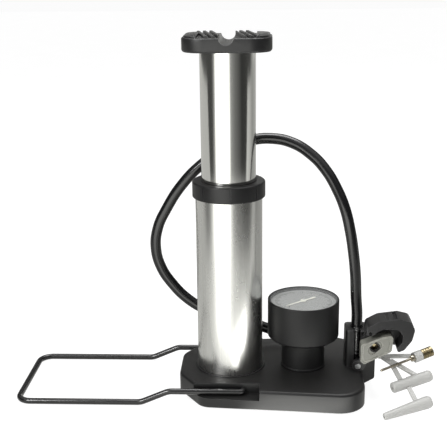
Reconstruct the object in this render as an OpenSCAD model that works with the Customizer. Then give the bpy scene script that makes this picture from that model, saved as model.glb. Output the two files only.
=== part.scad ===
// Small foot pump: a telescoping barrel on a flat base, with a pressure gauge,
// a folding wire stirrup, a hose with a lever head, and a card of nozzles.
// Origin: on the floor under the barrel axis. +X runs along the base to the
// gauge and the head holder, +Z is up. Millimetres.

/* [Barrel] */
// Outside diameter of the outer barrel
barrel_od = 50; // [44:0.5:54]
// Wall of the outer barrel
barrel_wall = 1.5; // [1:0.1:2.5]
// Height of the barrel's top edge above the floor
barrel_top = 161; // [140:1:185]
// Height of the collar ring at the top of the barrel
collar_h = 12; // [9:0.5:18]
// Wall of the collar outside the barrel
collar_wall = 2.2; // [1.6:0.1:4]
// Number of grip notches round the collar
collar_notches = 8; // [4:1:16]

/* [Piston and pedal] */
// Outside diameter of the sliding upper tube
tube_od = 40.5; // [34:0.5:42]
// Wall of the sliding upper tube
tube_wall = 1.5; // [1:0.1:2.5]
// Travel of the pedal from raised to fully down
stroke = 93; // [60:1:95]
// Free gap under the pedal when it is fully down
pedal_gap = 2; // [1:0.5:6]
// Width of the pedal along the base
pedal_w = 64; // [56:1:70]
// Depth of the pedal across the base
pedal_d = 54; // [48:1:55]
// Thickness of the pedal body under its grip ribs
pedal_h = 10; // [8:0.5:16]
// Radius of the pedal's corners
pedal_corner = 16; // [12:0.5:24]
// Width of the round groove that takes the folded stirrup
groove_w = 11; // [7:0.5:11.5]
// Height of the grip ribs on the pedal
rib_h = 2; // [1:0.25:3]
// Wire diameter of the return spring
spring_wire = 1.6; // [1.2:0.1:2]

/* [Base] */
// Height of the base's top face above the floor
base_h = 16.5; // [15.5:0.5:22]
// Wall of the base moulding
base_wall = 2.5; // [1.8:0.1:3.5]
// Distance from the barrel axis to the gauge end of the base
base_right = 101.5; // [98:0.5:101.5]
// Half of the base's width at the gauge end
base_half_right = 56; // [50:0.5:60]
// Half of the base's width at the barrel end
base_half_left = 46.3; // [45.5:0.1:49]
// Height of the rubber feet
foot_h = 1.5; // [1:0.1:1.8]
// Diameter of the rubber feet
foot_d = 14; // [10:0.5:18]

/* [Stirrup] */
// Diameter of the stirrup wire
wire_d = 4.5; // [3.5:0.1:4.8]
// Distance between the centres of the two side rails
stirrup_w = 81; // [80.5:0.5:82]
// Distance from the barrel axis to the crossbar
stirrup_reach = 160; // [130:1:175]
// Radius of the stirrup's outer corners
stirrup_corner = 10; // [6:0.5:16]

/* [Gauge] */
// Distance from the barrel axis to the gauge axis
gauge_x = 56.5; // [56:0.5:58]
// Outside diameter of the gauge housing
gauge_d = 54.7; // [48:0.1:56]
// Height of the gauge housing alone
gauge_h = 30.5; // [28:0.5:36]
// Diameter of the gauge's neck
neck_d = 33.2; // [28:0.2:36]
// Height of the gauge's neck
neck_h = 24; // [22:0.5:32]
// Number of marks round the dial
dial_marks = 13; // [7:2:21]

/* [Hose and head] */
// Diameter of the hose
hose_d = 8.5; // [7:0.1:9]
// Bore of the head's mouth
mouth_d = 6.2; // [5.8:0.1:7]
// Height of the head holder's top above the floor
holder_top = 46.5; // [42:0.5:46.5]
// Width of the grey chuck from front to back
chuck_depth = 9.7; // [9:0.1:11]
// Width of the lever from front to back
lever_w = 18; // [17.5:0.1:22]

/* [Nozzle card] */
// Downward slope of the card from its eye to the floor, in degrees
card_slope = 26.3; // [22:0.1:26.5]
// Thickness of the card's arms
card_t = 2; // [1.6:0.1:2.4]
// Outside diameter of the ball needle's tube
needle_d = 1.9; // [1.6:0.1:2.2]

/* [Hidden] */
$fn = 48;

// Clearances
fit = 0.05;        // fixed piece in its bore
slide = 0.08;      // sliding or turning piece in its bore
loose = 0.3;       // pieces that stay clear of each other
eps = 0.01;        // overrun of a cutting shape

// Barrel and what slides in it
barrel_r = barrel_od / 2;
bore_r = barrel_r - barrel_wall;
tube_r = tube_od / 2;
tube_ri = tube_r - tube_wall;
socket_floor = base_h - 5.5;
gasket_h = 1;
barrel_z0 = socket_floor + gasket_h;
collar_z1 = barrel_top + 3;
collar_z0 = collar_z1 - collar_h;
pedal_z0 = collar_z1 + pedal_gap + stroke;
tube_z1 = pedal_z0 + pedal_h - 6;
piston_h = 12;
piston_z0 = socket_floor + 12 + stroke;
piston_z1 = piston_z0 + piston_h;
well_h = 30;
well_wall = 1.8;
well_r = tube_ri - fit;
seat_h = 1.5;
valve_z = socket_floor + 4;
pedal_top = pedal_z0 + pedal_h;
rib_x0 = 8.6;
rib_pitch = 4.8;
rib_w = 2.6;
rib_slant = 10;

// Base
plate_z1 = foot_h + 2.1;
ceiling = base_h - 3.5;
duct_z0 = plate_z1 + 0.4;
duct_z1 = base_h - 8;
base_left = 38.5;
corner_y = 18;
nose_x = 20;
base_corners = [
    [-base_left, -corner_y], [-nose_x, -base_half_left], [base_right, -base_half_right],
    [base_right, base_half_right], [-nose_x, base_half_left], [-base_left, corner_y]
];
base_radii = [14, 12, 20, 20, 12, 14];
notch_y = 36.5;
notch_z = 8.8;
notch_x1 = 23;
pivot = [11, 11.5];
rail_y = stirrup_w / 2;
wire_r = wire_d / 2;
floor_rail_z = wire_r + 0.25;
pin_bend = 3;
jog_x0 = -45;
jog_x1 = -66;
knee_swell = 0.08;
screw_spots = [[-22, 24], [-22, -24], [84, 43], [84, -43]];
foot_spots = [[-24, 12], [-24, -12], [86, 34], [86, -34]];

// Gauge
gauge_r = gauge_d / 2;
neck_r = neck_d / 2;
gauge_z0 = base_h + neck_h;
gauge_z1 = gauge_z0 + gauge_h;
dial_z = gauge_z1 - 3.4;
dial_t = 0.8;
rim_w = 1.2;
dial_r = gauge_r - rim_w - 1.2;
lens_t = 0.8;
lens_z = gauge_z1 - lens_t - 0.2;
needle_tip = 17.5;
needle_tail = 12;
mark_sweep = 260;
needle_rest = mark_sweep / 2;
stem_r = 3;
movement_z = gauge_z0 + 14;
sector_at = [gauge_x - 8, 0];

// Hose: where it leaves the barb, its route, and where it meets the head
barb_at = [66, 33, 26];
HOSE = [
    [54, 33, 26], [46, 33, 27], [30, 33, 32], [14, 33, 38], [-4, 33, 43],
    [-22, 33, 49], [-36, 33, 58], [-48, 33, 71], [-56, 33, 84], [-60, 33, 100],
    [-58, 33, 117], [-50, 33, 134], [-39, 33, 151], [-24, 33, 167], [-5, 33, 180],
    [14, 33, 187], [32, 32, 189], [48, 29, 186], [62, 24, 178], [73, 18, 167],
    [81, 13, 154], [87, 8, 140], [91, 5, 124], [94, 4, 106], [96, 4, 88],
    [97, 4, 70], [98, 4, 58], [98, 4, 47]
];
hose_end = HOSE[len(HOSE) - 1];
ferrule_r = 4.6;
stem_rod_r = 2.2;
elbow_z = base_h + 4;
block_x0 = hose_end[0] + stem_rod_r + 2 * loose;
holder_screw_spots = [[92.3, 11], [92.3, -3]];

// Head, seen from the front as X and Z, and its layers along Y. Its outlines are
// drawn for a base 16.5 high and rise with the base
plate_y1 = -9.5;
plate_y0 = -13;
chuck_y1 = plate_y0;
chuck_y0 = chuck_y1 - chuck_depth;
head_rise = base_h - 16.5;
mouth = [109.5, 39.6 + head_rise];
gasket_bore_r = 4.2;
lever_at = [105.5, 52 + head_rise];
lever_y1 = plate_y1 + 3.3;
lever_y0 = lever_y1 - lever_w;
pin_r = 1.3;
lever_outer = [[102.6, 50.4], [103, 56.5], [112, 61.5], [127, 63.5], [135.5, 61.5], [138.5, 55],
               [136.5, 46.5], [131, 39], [125.6, 36.5]];
lever_inner = [[125.8, 40.5], [129.3, 45], [129.8, 50.5], [126, 55.3], [115, 55.5],
               [110.5, 53.5], [107.5, 49.6]];

// Nozzle card: its eye turns on the holder's peg
eye = [-5.5, 30];
peg_r = 1.8;
eye_x0 = 113.5;
eye_x1 = 117.5;
ring_at = [143.7, 7.2];
needle_tip_at = [114.4, 21.4];
needle_dir = unit(ring_at - needle_tip_at);
step_a = [121.2, 35.4];
step_b = [151.5, 22.9];
cone_a = [112.8, 61.2];
cone_b = [148.3, 46.8];
needle_lift = 3.1;

// ---------- outlines ----------

// Outline in X and Z moved up with the base
function raised(pts) = [for (p = pts) p + [0, head_rise]];

// Point at angle a on a circle
function on_circle(c, r, a) = [c[0] + r * cos(a), c[1] + r * sin(a)];

// Unit vector
function unit(v) = v / norm(v);

// Corners of a convex outline, counter-clockwise, moved inwards by d
function inset(pts, d) = [
    for (i = [0 : len(pts) - 1])
        let (a = pts[(i + len(pts) - 1) % len(pts)], b = pts[i], c = pts[(i + 1) % len(pts)],
             u = unit(b - a), v = unit(c - b),
             m = [-u[1], u[0]], n = [-v[1], v[0]])
        b + (m + n) * d / (1 + m * n)
];

// Outline with its corners rounded by the radii in rs
function rounded(pts, rs, steps = 6) = [
    for (i = [0 : len(pts) - 1])
        let (a = pts[(i + len(pts) - 1) % len(pts)], b = pts[i], c = pts[(i + 1) % len(pts)],
             u = unit(a - b), v = unit(c - b),
             half = acos(max(-1, min(1, u * v))) / 2,
             back = rs[i] / tan(half),
             o = b + unit(u + v) * rs[i] / sin(half),
             p = b + u * back - o, q = b + v * back - o,
             a0 = atan2(p[1], p[0]),
             turn = atan2(p[0] * q[1] - p[1] * q[0], p * q))
        for (k = [0 : steps]) on_circle(o, rs[i], a0 + turn * k / steps)
];

module base_outline(d = 0) {
    polygon(rounded(inset(base_corners, d), [for (r = base_radii) r - d]));
}

module ring(r_out, r_in, z0, z1) {
    translate([0, 0, z0])
        difference() {
            cylinder(r = r_out, h = z1 - z0);
            translate([0, 0, -eps]) cylinder(r = r_in, h = z1 - z0 + 2 * eps);
        }
}

module disc(r, z0, z1) {
    translate([0, 0, z0]) cylinder(r = r, h = z1 - z0);
}

module box(lo, hi) {
    translate(lo) cube(hi - lo);
}

// Outline in X and Z, carried along Y from y0 to y1
module slab(y0, y1) {
    translate([0, y1, 0]) rotate([90, 0, 0]) linear_extrude(y1 - y0) children();
}

// Cylinder along Y at a point given as X and Z
module rod_y(at, r, y0, y1) {
    translate([at[0], y0, at[1]]) rotate([-90, 0, 0]) cylinder(r = r, h = y1 - y0);
}

// Round wire from one point to the next
module wire(a, b, r) {
    v = b - a;
    translate(a)
        rotate([0, acos(v[2] / norm(v)), atan2(v[1], v[0])])
            cylinder(r = r, h = norm(v));
}

// Pan-head screw standing on its head at z0
module screw(head_r, head_h, shank_r, shank_h) {
    difference() {
        union() {
            cylinder(r = head_r, h = head_h);
            cylinder(r = shank_r, h = head_h + shank_h);
        }
        for (a = [0, 90])
            rotate(a) translate([-head_r * 0.6, -0.3, -eps]) cube([head_r * 1.2, 0.6, head_h * 0.5]);
    }
}

// ---------- swept tubes ----------

function path_dir(p, i) = unit(p[min(i + 1, len(p) - 1)] - p[max(i - 1, 0)]);

// One ring of points round a path's point
function path_ring(p, i, r, sides) =
    let (t = path_dir(p, i), s = unit(cross(t, [0, 1, 0])), b = cross(s, t))
    [for (k = [0 : sides - 1])
        p[i] + r * (cos(360 * k / sides) * s + sin(360 * k / sides) * b)];

// One ring of points round a coil's wire
function coil_ring(c, i, r, sides) =
    let (t = path_dir(c, i), s = unit(cross(t, [0, 0, 1])), b = cross(s, t))
    [for (k = [0 : sides - 1])
        c[i] + r * (cos(360 * k / sides) * s + sin(360 * k / sides) * b)];

module skin(rings) {
    n = len(rings[0]);
    m = len(rings);
    polyhedron(
        points = [for (g = rings) for (q = g) q],
        faces = concat(
            [[for (k = [0 : n - 1]) k]],
            [for (j = [0 : m - 2]) for (k = [0 : n - 1])
                [j * n + k, (j + 1) * n + k, (j + 1) * n + (k + 1) % n, j * n + (k + 1) % n]],
            [[for (k = [n - 1 : -1 : 0]) (m - 1) * n + k]]),
        convexity = 6);
}

// Coil spring standing on z0
module coil(r, wire_r, z0, z1, turns, steps, sides) {
    count = turns * steps;
    line = [for (i = [0 : count])
        [r * cos(360 * i / steps), r * sin(360 * i / steps),
         z0 + wire_r + (z1 - z0 - 2 * wire_r) * i / count]];
    skin([for (i = [0 : count]) coil_ring(line, i, wire_r, sides)]);
}

// ---------- base ----------

module notch(margin = 0) {
    for (s = [-1, 1])
        translate([0, s > 0 ? notch_y - margin : -base_half_right - 5, 0])
            translate([-base_left - 5, 0, notch_z - margin])
                cube([base_left + 5 + notch_x1 + margin, base_half_right + 5 - notch_y + margin, base_h]);
}

module base_housing() {
    color([0.09, 0.09, 0.1])
    difference() {
        union() {
            difference() {
                translate([0, 0, foot_h]) linear_extrude(base_h - foot_h) base_outline();
                difference() {
                    translate([0, 0, foot_h - eps])
                        linear_extrude(ceiling - foot_h + eps) base_outline(base_wall);
                    notch(base_wall);
                }
                notch();
            }
            // Cup that holds the barrel
            disc(barrel_r + 3.5, duct_z1, ceiling + 1);
            // Bosses for the stirrup's ends
            for (s = [-1, 1])
                box([pivot[0] - 5, s > 0 ? notch_y - 7 : -notch_y, duct_z1],
                    [pivot[0] + 5, s > 0 ? notch_y : -notch_y + 7, ceiling + 1]);
            // Screw bosses
            for (p = screw_spots) translate([p[0], p[1], 0]) disc(3.6, plate_z1, ceiling + 1);
        }
        disc(barrel_r + fit, socket_floor, base_h + 1);
        disc(4 + fit, duct_z1 - 1, socket_floor + 1);
        for (s = [-1, 1])
            rod_y(pivot, wire_r + slide, s > 0 ? notch_y - 6 : -notch_y - eps,
                  s > 0 ? notch_y + eps : -notch_y + 6);
        for (p = screw_spots)
            translate([p[0], p[1], 0]) disc(1.5 + fit, plate_z1 - 1, plate_z1 + 8);
        translate([gauge_x, 0, 0]) disc(stem_r + fit, ceiling - 1, base_h + 1);
        for (a = [30, 150, 270])
            translate([gauge_x + (neck_r - 5) * cos(a), (neck_r - 5) * sin(a), 0])
                disc(1.2 + fit, ceiling - 1, base_h + 1);
        translate([barb_at[0], barb_at[1], 0]) disc(stem_r + fit, ceiling - 1, base_h + 1);
        for (p = holder_screw_spots)
            translate([p[0], p[1], 0]) disc(1.5 + fit, ceiling - 1, base_h + 1);
    }
}

module base_plate() {
    color([0.12, 0.12, 0.13])
    difference() {
        translate([0, 0, foot_h])
            linear_extrude(plate_z1 - foot_h)
                difference() {
                    base_outline(base_wall + fit);
                    for (s = [-1, 1])
                        translate([-base_left - 1, s > 0 ? notch_y - base_wall - fit : -base_half_right])
                            square([base_left + 1 + notch_x1 + base_wall + fit,
                                    base_half_right - notch_y + base_wall + fit]);
                }
        for (p = screw_spots) translate([p[0], p[1], 0]) {
            disc(1.5 + fit, 0, plate_z1 + 1);
            disc(3 + fit, 0, foot_h + 1);
        }
        for (p = foot_spots) translate([p[0], p[1], 0]) disc(2.5 + fit, 0, plate_z1 + 1);
    }
}

module base_screws() {
    color([0.7, 0.7, 0.72])
    for (p = screw_spots) translate([p[0], p[1], foot_h + 0.1]) screw(3, 0.9, 1.5, 8);
}

module rubber_feet() {
    color([0.05, 0.05, 0.05])
    for (p = foot_spots) translate([p[0], p[1], 0]) {
        disc(foot_d / 2, 0, foot_h);
        disc(2.5, 0, plate_z1);
    }
}

module centre_foot() {
    color([0.05, 0.05, 0.05])
    disc(foot_d / 2, 0, foot_h);
}

module air_manifold() {
    color([0.2, 0.2, 0.22])
    difference() {
        union() {
            box([-5, -4.5, duct_z0], [gauge_x + 5, 4.5, duct_z1]);
            box([barb_at[0] - 4.5, -4.5, duct_z0], [barb_at[0] + 4.5, barb_at[1] + 5, duct_z1]);
            box([gauge_x, -4.5, duct_z0], [barb_at[0] + 4.5, 4.5, duct_z1]);
            translate([gauge_x, 0, 0]) disc(5, duct_z0, ceiling);
            translate([barb_at[0], barb_at[1], 0]) disc(5, duct_z0, ceiling);
        }
        disc(3 + fit, duct_z0 + 2, duct_z1 + 1);
        translate([gauge_x, 0, 0]) disc(stem_r + fit, duct_z1 - 1, ceiling + 1);
        translate([barb_at[0], barb_at[1], 0]) disc(stem_r + fit, duct_z1 - 1, ceiling + 1);
        duct_z = (duct_z0 + duct_z1) / 2;
        wire([0, 0, duct_z], [barb_at[0], 0, duct_z], 1.1);
        wire([barb_at[0], 0, duct_z], [barb_at[0], barb_at[1], duct_z], 1.1);
        translate([gauge_x, 0, 0]) disc(1.1, duct_z, duct_z1);
        translate([barb_at[0], barb_at[1], 0]) disc(1.1, duct_z, duct_z1);
    }
}

// ---------- barrel ----------

module barrel_gasket() {
    color([0.08, 0.08, 0.08]) ring(barrel_r, bore_r - 0.5, socket_floor, barrel_z0);
}

module barrel() {
    color([0.75, 0.76, 0.76]) ring(barrel_r, bore_r, barrel_z0, barrel_top);
}

module collar() {
    color([0.07, 0.07, 0.08])
    difference() {
        rotate_extrude()
            polygon([
                [barrel_r + fit, collar_z0], [barrel_r + collar_wall - 0.5, collar_z0],
                [barrel_r + collar_wall, collar_z0 + 0.5], [barrel_r + collar_wall, collar_z1 - 0.8],
                [barrel_r + collar_wall - 0.8, collar_z1], [tube_r + 0.6, collar_z1],
                [tube_r + 0.6, collar_z1 - 0.5], [tube_r + 2.4, collar_z1 - 0.5],
                [tube_r + 2.4, barrel_top], [barrel_r + fit, barrel_top]
            ]);
        for (i = [0 : collar_notches - 1])
            rotate(i * 360 / collar_notches - 86)
                translate([barrel_r + collar_wall - 0.6, -0.6, collar_z0 + 1.5])
                    cube([2, 1.2, collar_h]);
    }
}

module guide_bush() {
    color([0.85, 0.85, 0.8]) ring(bore_r - fit, tube_r + slide, piston_z1 + loose, barrel_top);
}

module tube_wiper() {
    color([0.08, 0.08, 0.08])
    ring(tube_r + 2.4 - fit, tube_r + slide, barrel_top, collar_z1 - 0.5 - fit);
}

module spring_seat() {
    color([0.6, 0.6, 0.6]) ring(bore_r - 4, 11, socket_floor, socket_floor + seat_h);
}

module check_valve_body() {
    color([0.8, 0.65, 0.3])
    difference() {
        union() {
            disc(9, socket_floor, valve_z);
            disc(4, duct_z1, socket_floor);
            disc(3, duct_z0 + 2, duct_z1);
        }
        disc(1.2, duct_z0, valve_z + 1);
        disc(3.5, socket_floor + 0.6, valve_z - 0.6);
    }
}

module check_valve_disc() {
    color([0.1, 0.1, 0.1]) disc(3.2, valve_z - 1.65, valve_z - 0.65);
}

module check_valve_spring() {
    color([0.75, 0.75, 0.75])
    coil(2.2, 0.2, socket_floor + 0.65, valve_z - 1.7, 3, 10, 6);
}

// ---------- piston and pedal ----------

module piston_tube() {
    color([0.8, 0.81, 0.81]) ring(tube_r, tube_ri, piston_z1, tube_z1);
}

module piston() {
    color([0.85, 0.85, 0.8])
    difference() {
        rotate_extrude()
            polygon([
                [well_r - well_wall, piston_z0], [bore_r - 0.15, piston_z0],
                [bore_r - 0.15, piston_z0 + 4], [bore_r - 2, piston_z0 + 4],
                [bore_r - 2, piston_z0 + 8], [bore_r - 0.15, piston_z0 + 8],
                [bore_r - 0.15, piston_z1], [well_r, piston_z1],
                [well_r, piston_z1 + well_h], [0, piston_z1 + well_h],
                [0, piston_z1 + well_h - 2], [well_r - well_wall, piston_z1 + well_h - 2]
            ]);
    }
}

module piston_seal() {
    color([0.06, 0.06, 0.06])
    rotate_extrude()
        polygon([
            [bore_r - 2 + fit, piston_z0 + 4 + fit], [bore_r - 0.1, piston_z0 + 4.3],
            [bore_r - fit, piston_z0 + 6], [bore_r - 0.1, piston_z0 + 7.7],
            [bore_r - 2 + fit, piston_z0 + 8 - fit]
        ]);
}

module return_spring() {
    color([0.7, 0.72, 0.75])
    coil(well_r - well_wall - spring_wire / 2 - 0.4, spring_wire / 2,
         socket_floor + seat_h + fit, piston_z1 + well_h - 2 - fit, 13, 18, 6);
}

module tube_plug() {
    color([0.1, 0.1, 0.1])
    difference() {
        disc(tube_ri - fit, tube_z1 - 12, tube_z1);
        disc(tube_ri - 4, tube_z1 - 13, tube_z1 - 3);
        for (a = [0, 180]) rotate(a)
            translate([tube_ri - 3, 0, pedal_z0 + 2]) rotate([0, 90, 0]) cylinder(r = 1 + fit, h = 5);
    }
}

function pedal_corners(d) = [
    [-pedal_w / 2 + d, -pedal_d / 2 + d], [pedal_w / 2 - d, -pedal_d / 2 + d],
    [pedal_w / 2 - d, pedal_d / 2 - d], [-pedal_w / 2 + d, pedal_d / 2 - d]
];
module pedal_outline(d = 0) {
    polygon(rounded(pedal_corners(d), [for (i = [0 : 3]) pedal_corner - d], 10));
}

module pedal() {
    color([0.1, 0.1, 0.11])
    difference() {
        union() {
            translate([0, 0, pedal_z0]) linear_extrude(pedal_h) pedal_outline();
            // Raised pads at the two ends
            translate([0, 0, pedal_top - eps])
                linear_extrude(rib_h * 0.7)
                    difference() {
                        pedal_outline(1.5);
                        square([42, pedal_d + 2], center = true);
                    }
            // Slanted grip ribs on both sides of the groove
            translate([0, 0, pedal_top - eps])
                linear_extrude(rib_h)
                    intersection() {
                        pedal_outline(2);
                        for (s = [-1, 1]) for (i = [0 : 2])
                            translate([s * (rib_x0 + i * rib_pitch), 0]) rotate(rib_slant)
                                square([rib_w, pedal_d + 4], center = true);
                    }
        }
        // Groove for the stirrup's crossbar
        rod_y([0, pedal_top + 0.8], groove_w / 2, -pedal_d, pedal_d);
        // Hollow underside round the tube's socket
        difference() {
            translate([0, 0, pedal_z0 - eps]) linear_extrude(3.5 + eps) pedal_outline(3);
            disc(tube_r + 2.5, pedal_z0 - 1, pedal_z0 + 6);
        }
        disc(tube_r + fit, pedal_z0 - 1, tube_z1);
        for (a = [0, 180]) rotate(a)
            translate([tube_r - 1, 0, pedal_z0 + 2]) rotate([0, 90, 0]) cylinder(r = 1 + fit, h = 6);
    }
}

module pedal_pins() {
    color([0.7, 0.7, 0.7])
    for (a = [0, 180]) rotate(a)
        translate([tube_r + fit, 0, pedal_z0 + 2]) rotate([0, 90, 0]) cylinder(r = 1, h = 2.4);
}

// ---------- gauge ----------

module at_gauge() { translate([gauge_x, 0, 0]) children(); }

module gauge_neck() {
    color([0.1, 0.1, 0.11])
    at_gauge()
    difference() {
        union() {
            ring(neck_r, neck_r - 2.4, base_h, gauge_z0);
            disc(neck_r + 0.5, base_h, base_h + 1.6);
            for (a = [30, 150, 270]) rotate(a)
                translate([neck_r - 5, 0, 0]) disc(3, base_h, base_h + 10);
        }
        disc(6, base_h - 1, base_h + 5);
        for (a = [30, 150, 270]) rotate(a)
            translate([neck_r - 5, 0, 0]) disc(1.2 + fit, base_h - 1, base_h + 9);
    }
}

module gauge_screws() {
    color([0.7, 0.7, 0.72])
    at_gauge()
    for (a = [30, 150, 270]) rotate(a)
        translate([neck_r - 5, 0, ceiling - 1.2]) screw(2.2, 1.2, 1.2, 11);
}

module gauge_housing() {
    color([0.09, 0.09, 0.1])
    at_gauge()
    difference() {
        rotate_extrude()
            polygon([
                [stem_r + 0.3, gauge_z0], [gauge_r - 1.5, gauge_z0], [gauge_r, gauge_z0 + 1.5],
                [gauge_r, gauge_z1 - 0.6], [gauge_r - 0.6, gauge_z1], [gauge_r - rim_w, gauge_z1],
                [gauge_r - rim_w, lens_z], [dial_r + 0.2, lens_z],
                [dial_r + 0.2, dial_z], [dial_r - 1.2, dial_z], [dial_r - 1.2, gauge_z0 + 3],
                [stem_r + 0.3, gauge_z0 + 3]
            ]);
    }
}

module gauge_stem() {
    color([0.8, 0.65, 0.3])
    at_gauge() ring(stem_r, 0.9, duct_z1 - 1, gauge_z0 + 3);
}

module gauge_socket() {
    color([0.8, 0.65, 0.3])
    at_gauge()
    difference() {
        box([-4.5, -4.5, gauge_z0 + 3], [4.5, 4.5, movement_z]);
        disc(0.9, gauge_z0 + 2, gauge_z0 + 8);
        translate([0, 0, gauge_z0 + 8]) rotate([90, 0, 0]) cylinder(r = 0.9, h = 6);
    }
}

module bourdon_tube() {
    color([0.8, 0.6, 0.3])
    at_gauge() {
        rotate([0, 0, -90 + 14]) rotate_extrude(angle = 250)
            translate([15, gauge_z0 + 6]) square([2, 5]);
        // Foot that joins the tube to the socket
        box([-1.5, -16.4, gauge_z0 + 6.5], [4.5, -4.5, gauge_z0 + 9.5]);
    }
}

module movement_frame() {
    color([0.8, 0.65, 0.3])
    difference() {
        union() {
            at_gauge() for (z = [movement_z, dial_z - 2.5]) box([-12, -5, z], [6, 5, z + 1]);
            at_gauge() for (p = [[-11, 4], [-11, -4], [5, 4], [5, -4]])
                translate([p[0], p[1], 0]) disc(0.9, movement_z, dial_z - 1.5);
        }
        at_gauge() disc(0.8 + slide, movement_z - 1, dial_z);
        translate([sector_at[0], sector_at[1], 0]) disc(0.8 + slide, movement_z - 1, dial_z);
    }
}

module sector_gear() {
    color([0.8, 0.65, 0.3])
    translate([sector_at[0], sector_at[1], movement_z + 1.6])
    union() {
        linear_extrude(1)
            polygon(concat([[-1, 0], [0, -1.2]],
                           [for (a = [-15 : 5 : 15]) on_circle([0, 0], 5.6, a)], [[0, 1.2]]));
        translate([0, 0, -1.6]) cylinder(r = 0.8, h = dial_z - movement_z - 2);
    }
}

module gauge_spindle() {
    color([0.75, 0.75, 0.75])
    at_gauge() {
        disc(0.8, movement_z + 0.1, dial_z + 2.3);
        disc(2, movement_z + 1.6, movement_z + 2.6);
    }
}

module gauge_dial() {
    color([0.62, 0.63, 0.63])
    at_gauge()
    difference() {
        union() {
            disc(dial_r, dial_z, dial_z + dial_t);
            for (i = [0 : dial_marks - 1])
                rotate(mark_sweep * (0.5 - i / (dial_marks - 1)))
                    translate([0, dial_r - 6, 0])
                        box([-0.25, 0, dial_z + dial_t - eps], [0.25, 3.5, dial_z + dial_t + 0.15]);
        }
        disc(0.8 + slide, dial_z - 1, dial_z + 2);
        rotate(needle_rest + 10) translate([0, dial_r - 8, 0]) disc(0.5 + fit, dial_z - 1, dial_z + 2);
    }
}

module gauge_stop_pin() {
    color([0.75, 0.75, 0.75])
    at_gauge() rotate(needle_rest + 10) translate([0, dial_r - 8, 0]) disc(0.5, dial_z, dial_z + 2.2);
}

module gauge_needle() {
    color([0.9, 0.9, 0.88])
    at_gauge() rotate(needle_rest)
    difference() {
        union() {
            disc(2.2, dial_z + 1, dial_z + 2.1);
            translate([0, 0, dial_z + 1.2])
                linear_extrude(0.7)
                    polygon([[-0.8, -needle_tail], [0.8, -needle_tail], [0.3, needle_tip], [-0.3, needle_tip]]);
        }
        disc(0.8 + fit, dial_z, dial_z + 4);
    }
}

module gauge_lens() {
    color([0.8, 0.85, 0.88, 0.4])
    at_gauge() disc(gauge_r - rim_w - fit, lens_z, lens_z + lens_t);
}

// ---------- stirrup ----------

module stirrup_half() {
    // Pin in the base, then the bend into the rail
    wire([pivot[0], notch_y - 5.5, pivot[1]], [pivot[0], rail_y - pin_bend, pivot[1]], wire_r);
    translate([pivot[0] - pin_bend, rail_y - pin_bend, pivot[1]])
        rotate_extrude(angle = 90) translate([pin_bend, 0]) circle(r = wire_r);
    // Rail, stepping down to the floor beyond the base
    high = [jog_x0, rail_y, pivot[1]];
    low = [jog_x1, rail_y, floor_rail_z];
    wire([pivot[0] - pin_bend, rail_y, pivot[1]], high, wire_r);
    wire(high, low, wire_r);
    wire(low, [stirrup_corner - stirrup_reach, rail_y, floor_rail_z], wire_r);
    for (knee = [high, low]) translate(knee) sphere(r = wire_r + knee_swell);
    translate([stirrup_corner - stirrup_reach, rail_y - stirrup_corner, floor_rail_z])
        rotate([0, 0, 90]) rotate_extrude(angle = 90) translate([stirrup_corner, 0]) circle(r = wire_r);
    wire([-stirrup_reach, rail_y - stirrup_corner, floor_rail_z],
         [-stirrup_reach, 0, floor_rail_z], wire_r);
}

module stirrup() {
    color([0.06, 0.06, 0.06])
    union() {
        stirrup_half();
        mirror([0, 1, 0]) stirrup_half();
    }
}

// ---------- hose and its ends ----------

module hose_barb() {
    color([0.1, 0.1, 0.11])
    difference() {
        union() {
            translate([barb_at[0], barb_at[1], 0]) {
                disc(6, base_h, base_h + 2.5);
                disc(4, base_h, barb_at[2]);
                disc(stem_r, duct_z1 - 1, base_h);
            }
            translate(barb_at) sphere(r = 4);
            wire(barb_at, HOSE[0], 3);
            translate([HOSE[0][0] + 2, barb_at[1], barb_at[2]]) rotate([0, 90, 0]) cylinder(r = 4.2, h = 1.5);
        }
        translate([barb_at[0], barb_at[1], 0]) disc(1.2, duct_z1 - 2, barb_at[2]);
        wire(barb_at, HOSE[0] - [1, 0, 0], 1.2);
    }
}

module hose() {
    color([0.04, 0.04, 0.04])
    skin([for (i = [0 : len(HOSE) - 1])
        i == 0 ? path_ring([HOSE[0], HOSE[0] - [1, 0, 0]], 0, hose_d / 2, 12)
        : path_ring(i == len(HOSE) - 1 ? concat([for (j = [0 : i - 2]) HOSE[j]],
            [HOSE[i] + [0, 0, 1], HOSE[i]]) : HOSE, i, hose_d / 2, 12)]);
}

module hose_ferrule() {
    color([0.35, 0.35, 0.36])
    translate([hose_end[0], hose_end[1], 0])
    union() {
        disc(ferrule_r - 0.4, elbow_z + 3.5, hose_end[2]);
        for (z = [elbow_z + 3.5, elbow_z + 6, hose_end[2] - 3]) disc(ferrule_r, z, z + 1.5);
    }
}

module head_stem() {
    color([0.75, 0.76, 0.76])
    union() {
        translate([hose_end[0], hose_end[1], 0]) disc(stem_rod_r, elbow_z, elbow_z + 3.5);
        translate([hose_end[0], hose_end[1], elbow_z]) sphere(r = stem_rod_r);
        rod_y([hose_end[0], elbow_z], stem_rod_r, plate_y0 - 0.6, hose_end[1]);
    }
}

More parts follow.
